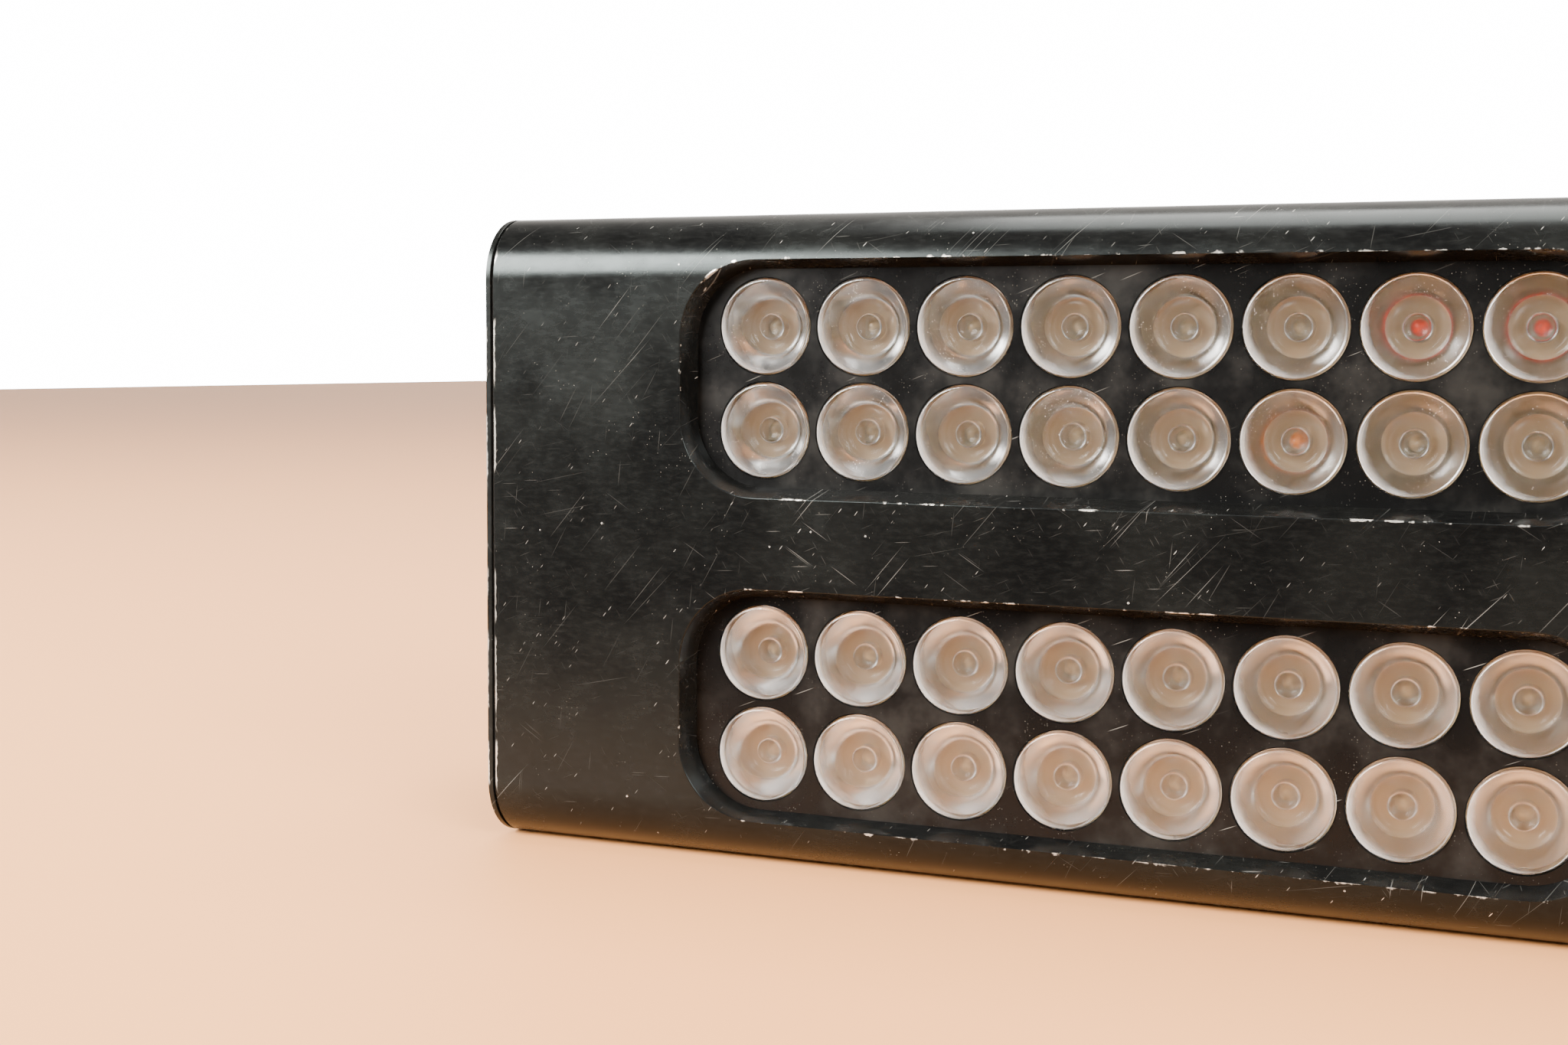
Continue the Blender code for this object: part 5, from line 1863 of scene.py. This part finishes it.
    def build_pivot(self, side: str, outward: int) -> None:
        """Build one end's plated insert and fibre washer.

        Args:
            side: The name of the side.
            outward: Its direction along X, -1 or 1.
        """
        low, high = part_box(f"{side}_friction_washer")
        washer = make_object(f"{side}_washer", prism(Axis.X, circle(
            self.pivot, (high.z - low.z) / 2, 96), low.x, high.x), finish("fibre"))
        carve(washer, prism(Axis.X, circle(self.pivot, self.washer_hole, 64), low.x - MM,
                            high.x + MM))
        put(polish(washer, 0.15 * MM), "fibre", f"{side}_friction_washer")
        low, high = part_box(f"{side}_pivot_insert")
        inner, tip = (low.x, high.x) if outward > 0 else (high.x, low.x)
        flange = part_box(f"{side}_gasket")[1 if outward > 0 else 0].x
        profile = [(0.0, inner), (7.5 * MM, inner), (7.5 * MM, inner + outward * 8 * MM),
                   (self.hub, inner + outward * 8 * MM), (self.hub, flange), (6 * MM, flange),
                   (6 * MM, tip), (4 * MM, tip), (4 * MM, inner + outward * 2 * MM),
                   (0.0, inner + outward * 2 * MM)]
        insert = make_object(f"{side}_insert", turned(
            Axis.X, self.pivot, rounded_profile(profile, 0.25 * MM), 64), finish("nickel"))
        put(polish(insert), "plated_metal", f"{side}_pivot_insert")

    def build(self) -> None:
        """Build the yoke and both ends."""
        self.build_yoke()
        for side, outward in SIDES:
            self.build_pivot(side, outward)
            self.build_knob(side, outward)


@dataclass
class Carried:
    """CAD nodes whose shape is already right, given their finishes."""

    finishes: dict[str, tuple[str, ...]] = field(default_factory=lambda: {
        "rubber": ("left_gasket", "right_gasket"),
        "pad": ("thermal_pad_upper", "thermal_pad_lower"),
        "mill": ("heat_sink", "component_tray", "power_supply"),
        "green": ("driver_board", "control_board"),
        "lead": ("led_lead_upper", "led_lead_lower")})

    def build(self, nodes: dict[str, bpy.types.Object]) -> None:
        """Dress each node that is left showing.

        Args:
            nodes: The frame's nodes, by name.
        """
        for name, members in self.finishes.items():
            for node in members:
                nodes[node].data.materials.clear()
                nodes[node].data.materials.append(finish(name))
                LOG.info("%s keeps its shape", node)


@dataclass
class Studio:
    """A plain pale floor, soft light and the camera."""

    floor_size: float = 9.0
    floor_front: float = 235.0 * MM
    floor_colour: str = "#CC8B52"
    lens_mm: float = 46.4
    sensor_mm: float = 36.0
    stand_off: float = 430.3 * MM          # from the lens faces to the camera
    sideways: float = 99.5 * MM
    above_middle: float = 43.4 * MM
    forward: tuple[float, float, float] = (-0.3811, 0.9209, -0.0825)
    up: tuple[float, float, float] = (-0.0378, 0.0737, 0.9966)
    bright_side: tuple[float, float, float] = (0.84, 0.54, 0.0)
    backdrop: float = 16.0                 # what the camera sees behind everything
    soft_white: str = "#FFFDF8"

    def build_floor(self) -> None:
        """Lay the floor, like a bench top that ends just below the camera."""
        half = self.floor_size / 2
        solid = bmesh.new()
        corners = ((-half, -self.floor_front), (half, -self.floor_front), (half, self.floor_size),
                   (-half, self.floor_size))
        solid.faces.new([solid.verts.new((x, y, -0.0002)) for x, y in corners])
        material = bpy.data.materials.new("pale_floor")
        material.use_nodes = True
        shader = material.node_tree.nodes["Principled BSDF"]
        shader.inputs["Base Color"].default_value = linear(self.floor_colour)
        shader.inputs["Roughness"].default_value = 0.7
        make_object("floor", solid, material)

    def build_world(self) -> None:
        """Light the room: bright behind and to the upper right, dark in front."""
        world = bpy.data.worlds.new("studio")
        bpy.context.scene.world = world
        world.use_nodes = True
        tree = world.node_tree
        tree.nodes.clear()
        way = add_node(tree, "ShaderNodeTexCoord", output="Generated")
        depth = add_node(tree, "ShaderNodeSeparateXYZ", None, {0: way}, "Y")
        height = add_node(tree, "ShaderNodeSeparateXYZ", None, {0: way}, "Z")
        lean = add_node(tree, VECTOR, {"operation": "DOT_PRODUCT"},
                        {0: way, 1: self.bright_side}, "Value")
        rear, roof, side = [
            add_node(tree, RANGE, SMOOTH, {"Value": value, "From Min": start, "From Max": end,
                                           "To Min": first, "To Max": last})
            for value, start, end, first, last in (
                (depth, -0.3, 0.7, 0.1, 12.0), (height, 0.08, 0.4, 1.0, 0.06),
                (lean, -0.3, 0.1, 0.08, 1.6))]
        horizon = add_node(tree, MATH, MULTIPLY, {0: rear, 1: roof})
        level = add_node(tree, MATH, MAXIMUM, {0: horizon, 1: side})
        room = add_node(tree, "ShaderNodeBackground", None,
                        {"Color": linear("#FFF8F0"), "Strength": level})
        seen = add_node(tree, "ShaderNodeBackground", None,
                        {"Color": linear("#FFFFFF"), "Strength": self.backdrop})
        direct = add_node(tree, "ShaderNodeLightPath", None, None, "Is Camera Ray")
        mixed = add_node(tree, "ShaderNodeMixShader", None, {0: direct, 1: room, 2: seen})
        add_node(tree, "ShaderNodeOutputWorld", None, {"Surface": mixed})

    @staticmethod
    def add_light(name: str, place: Sequence[float], aim: Sequence[float],
                  size: tuple[float, float], watts: float, colour: str) -> None:
        """Hang one rectangular soft light.

        Args:
            name: The light's name.
            place: Where it hangs.
            aim: The point that it faces.
            size: Its width and height.
            watts: Its power.
            colour: Its sRGB colour.
        """
        data = bpy.data.lights.new(name, "AREA")
        data.shape = "RECTANGLE"
        data.size, data.size_y = size
        data.energy = watts
        data.color = linear(colour)[:3]
        light = bpy.data.objects.new(name, data)
        light.location = place
        light.rotation_euler = (Vector(aim) - Vector(place)).to_track_quat("-Z", "Y").to_euler()
        light.visible_camera = False
        bpy.context.scene.collection.objects.link(light)

    def build_lights(self) -> None:
        """Hang the key light at the upper left, a second one at the right and one overhead."""
        for name, place, aim, size, watts in (
                ("key_softbox", (-1.52, -1.68, 1.18), (0.0, 0.0, 0.14), (1.3, 1.1), 400),
                ("right_softbox", (1.35, -1.25, 1.25), (0.0, 0.0, 0.1), (1.0, 0.9), 80),
                ("overhead_softbox", (0.0, 0.35, 2.1), (0.0, 0.1, 0.1), (1.3, 1.3), 75)):
            self.add_light(name, place, aim, size, watts, self.soft_white)

    def build_camera(self, grid: Grid) -> None:
        """Place the camera from the lens grid.

        Args:
            grid: The lens grid to aim at.
        """
        data = bpy.data.cameras.new("camera")
        data.lens = self.lens_mm
        data.sensor_width = self.sensor_mm
        data.clip_start = 0.01
        camera = bpy.data.objects.new("camera", data)
        ahead = Vector(self.forward).normalized()
        side = ahead.cross(Vector(self.up)).normalized()
        upright = side.cross(ahead)
        turn = Matrix((side, upright, -ahead)).transposed().to_4x4()
        middle = (grid.window_height("upper") + grid.window_height("lower")) / 2
        place = Vector((self.sideways, grid.face - self.stand_off, middle + self.above_middle))
        camera.matrix_world = Matrix.Translation(place) @ turn
        bpy.context.scene.collection.objects.link(camera)
        bpy.context.scene.camera = camera

    def build(self, grid: Grid) -> None:
        """Set the whole stage.

        Args:
            grid: The lens grid that the camera is aimed at.
        """
        self.build_camera(grid)
        self.build_floor()
        self.build_world()
        self.build_lights()


def main() -> None:
    """Load the frame and build the luminaire, its finishes and its stage."""
    logging.basicConfig(level=logging.INFO, format="%(message)s")
    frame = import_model()
    grid = Grid()
    repeater = Repeater()
    Studio().build(grid)
    Body(grid).build()
    Optics(grid, repeater).build()
    RearPanel(repeater).build()
    Sockets().build()
    SmallFittings().build()
    Mounting().build()
    Screws(repeater).build()
    Carried().build(frame["nodes"])


if __name__ == "__main__":
    main()
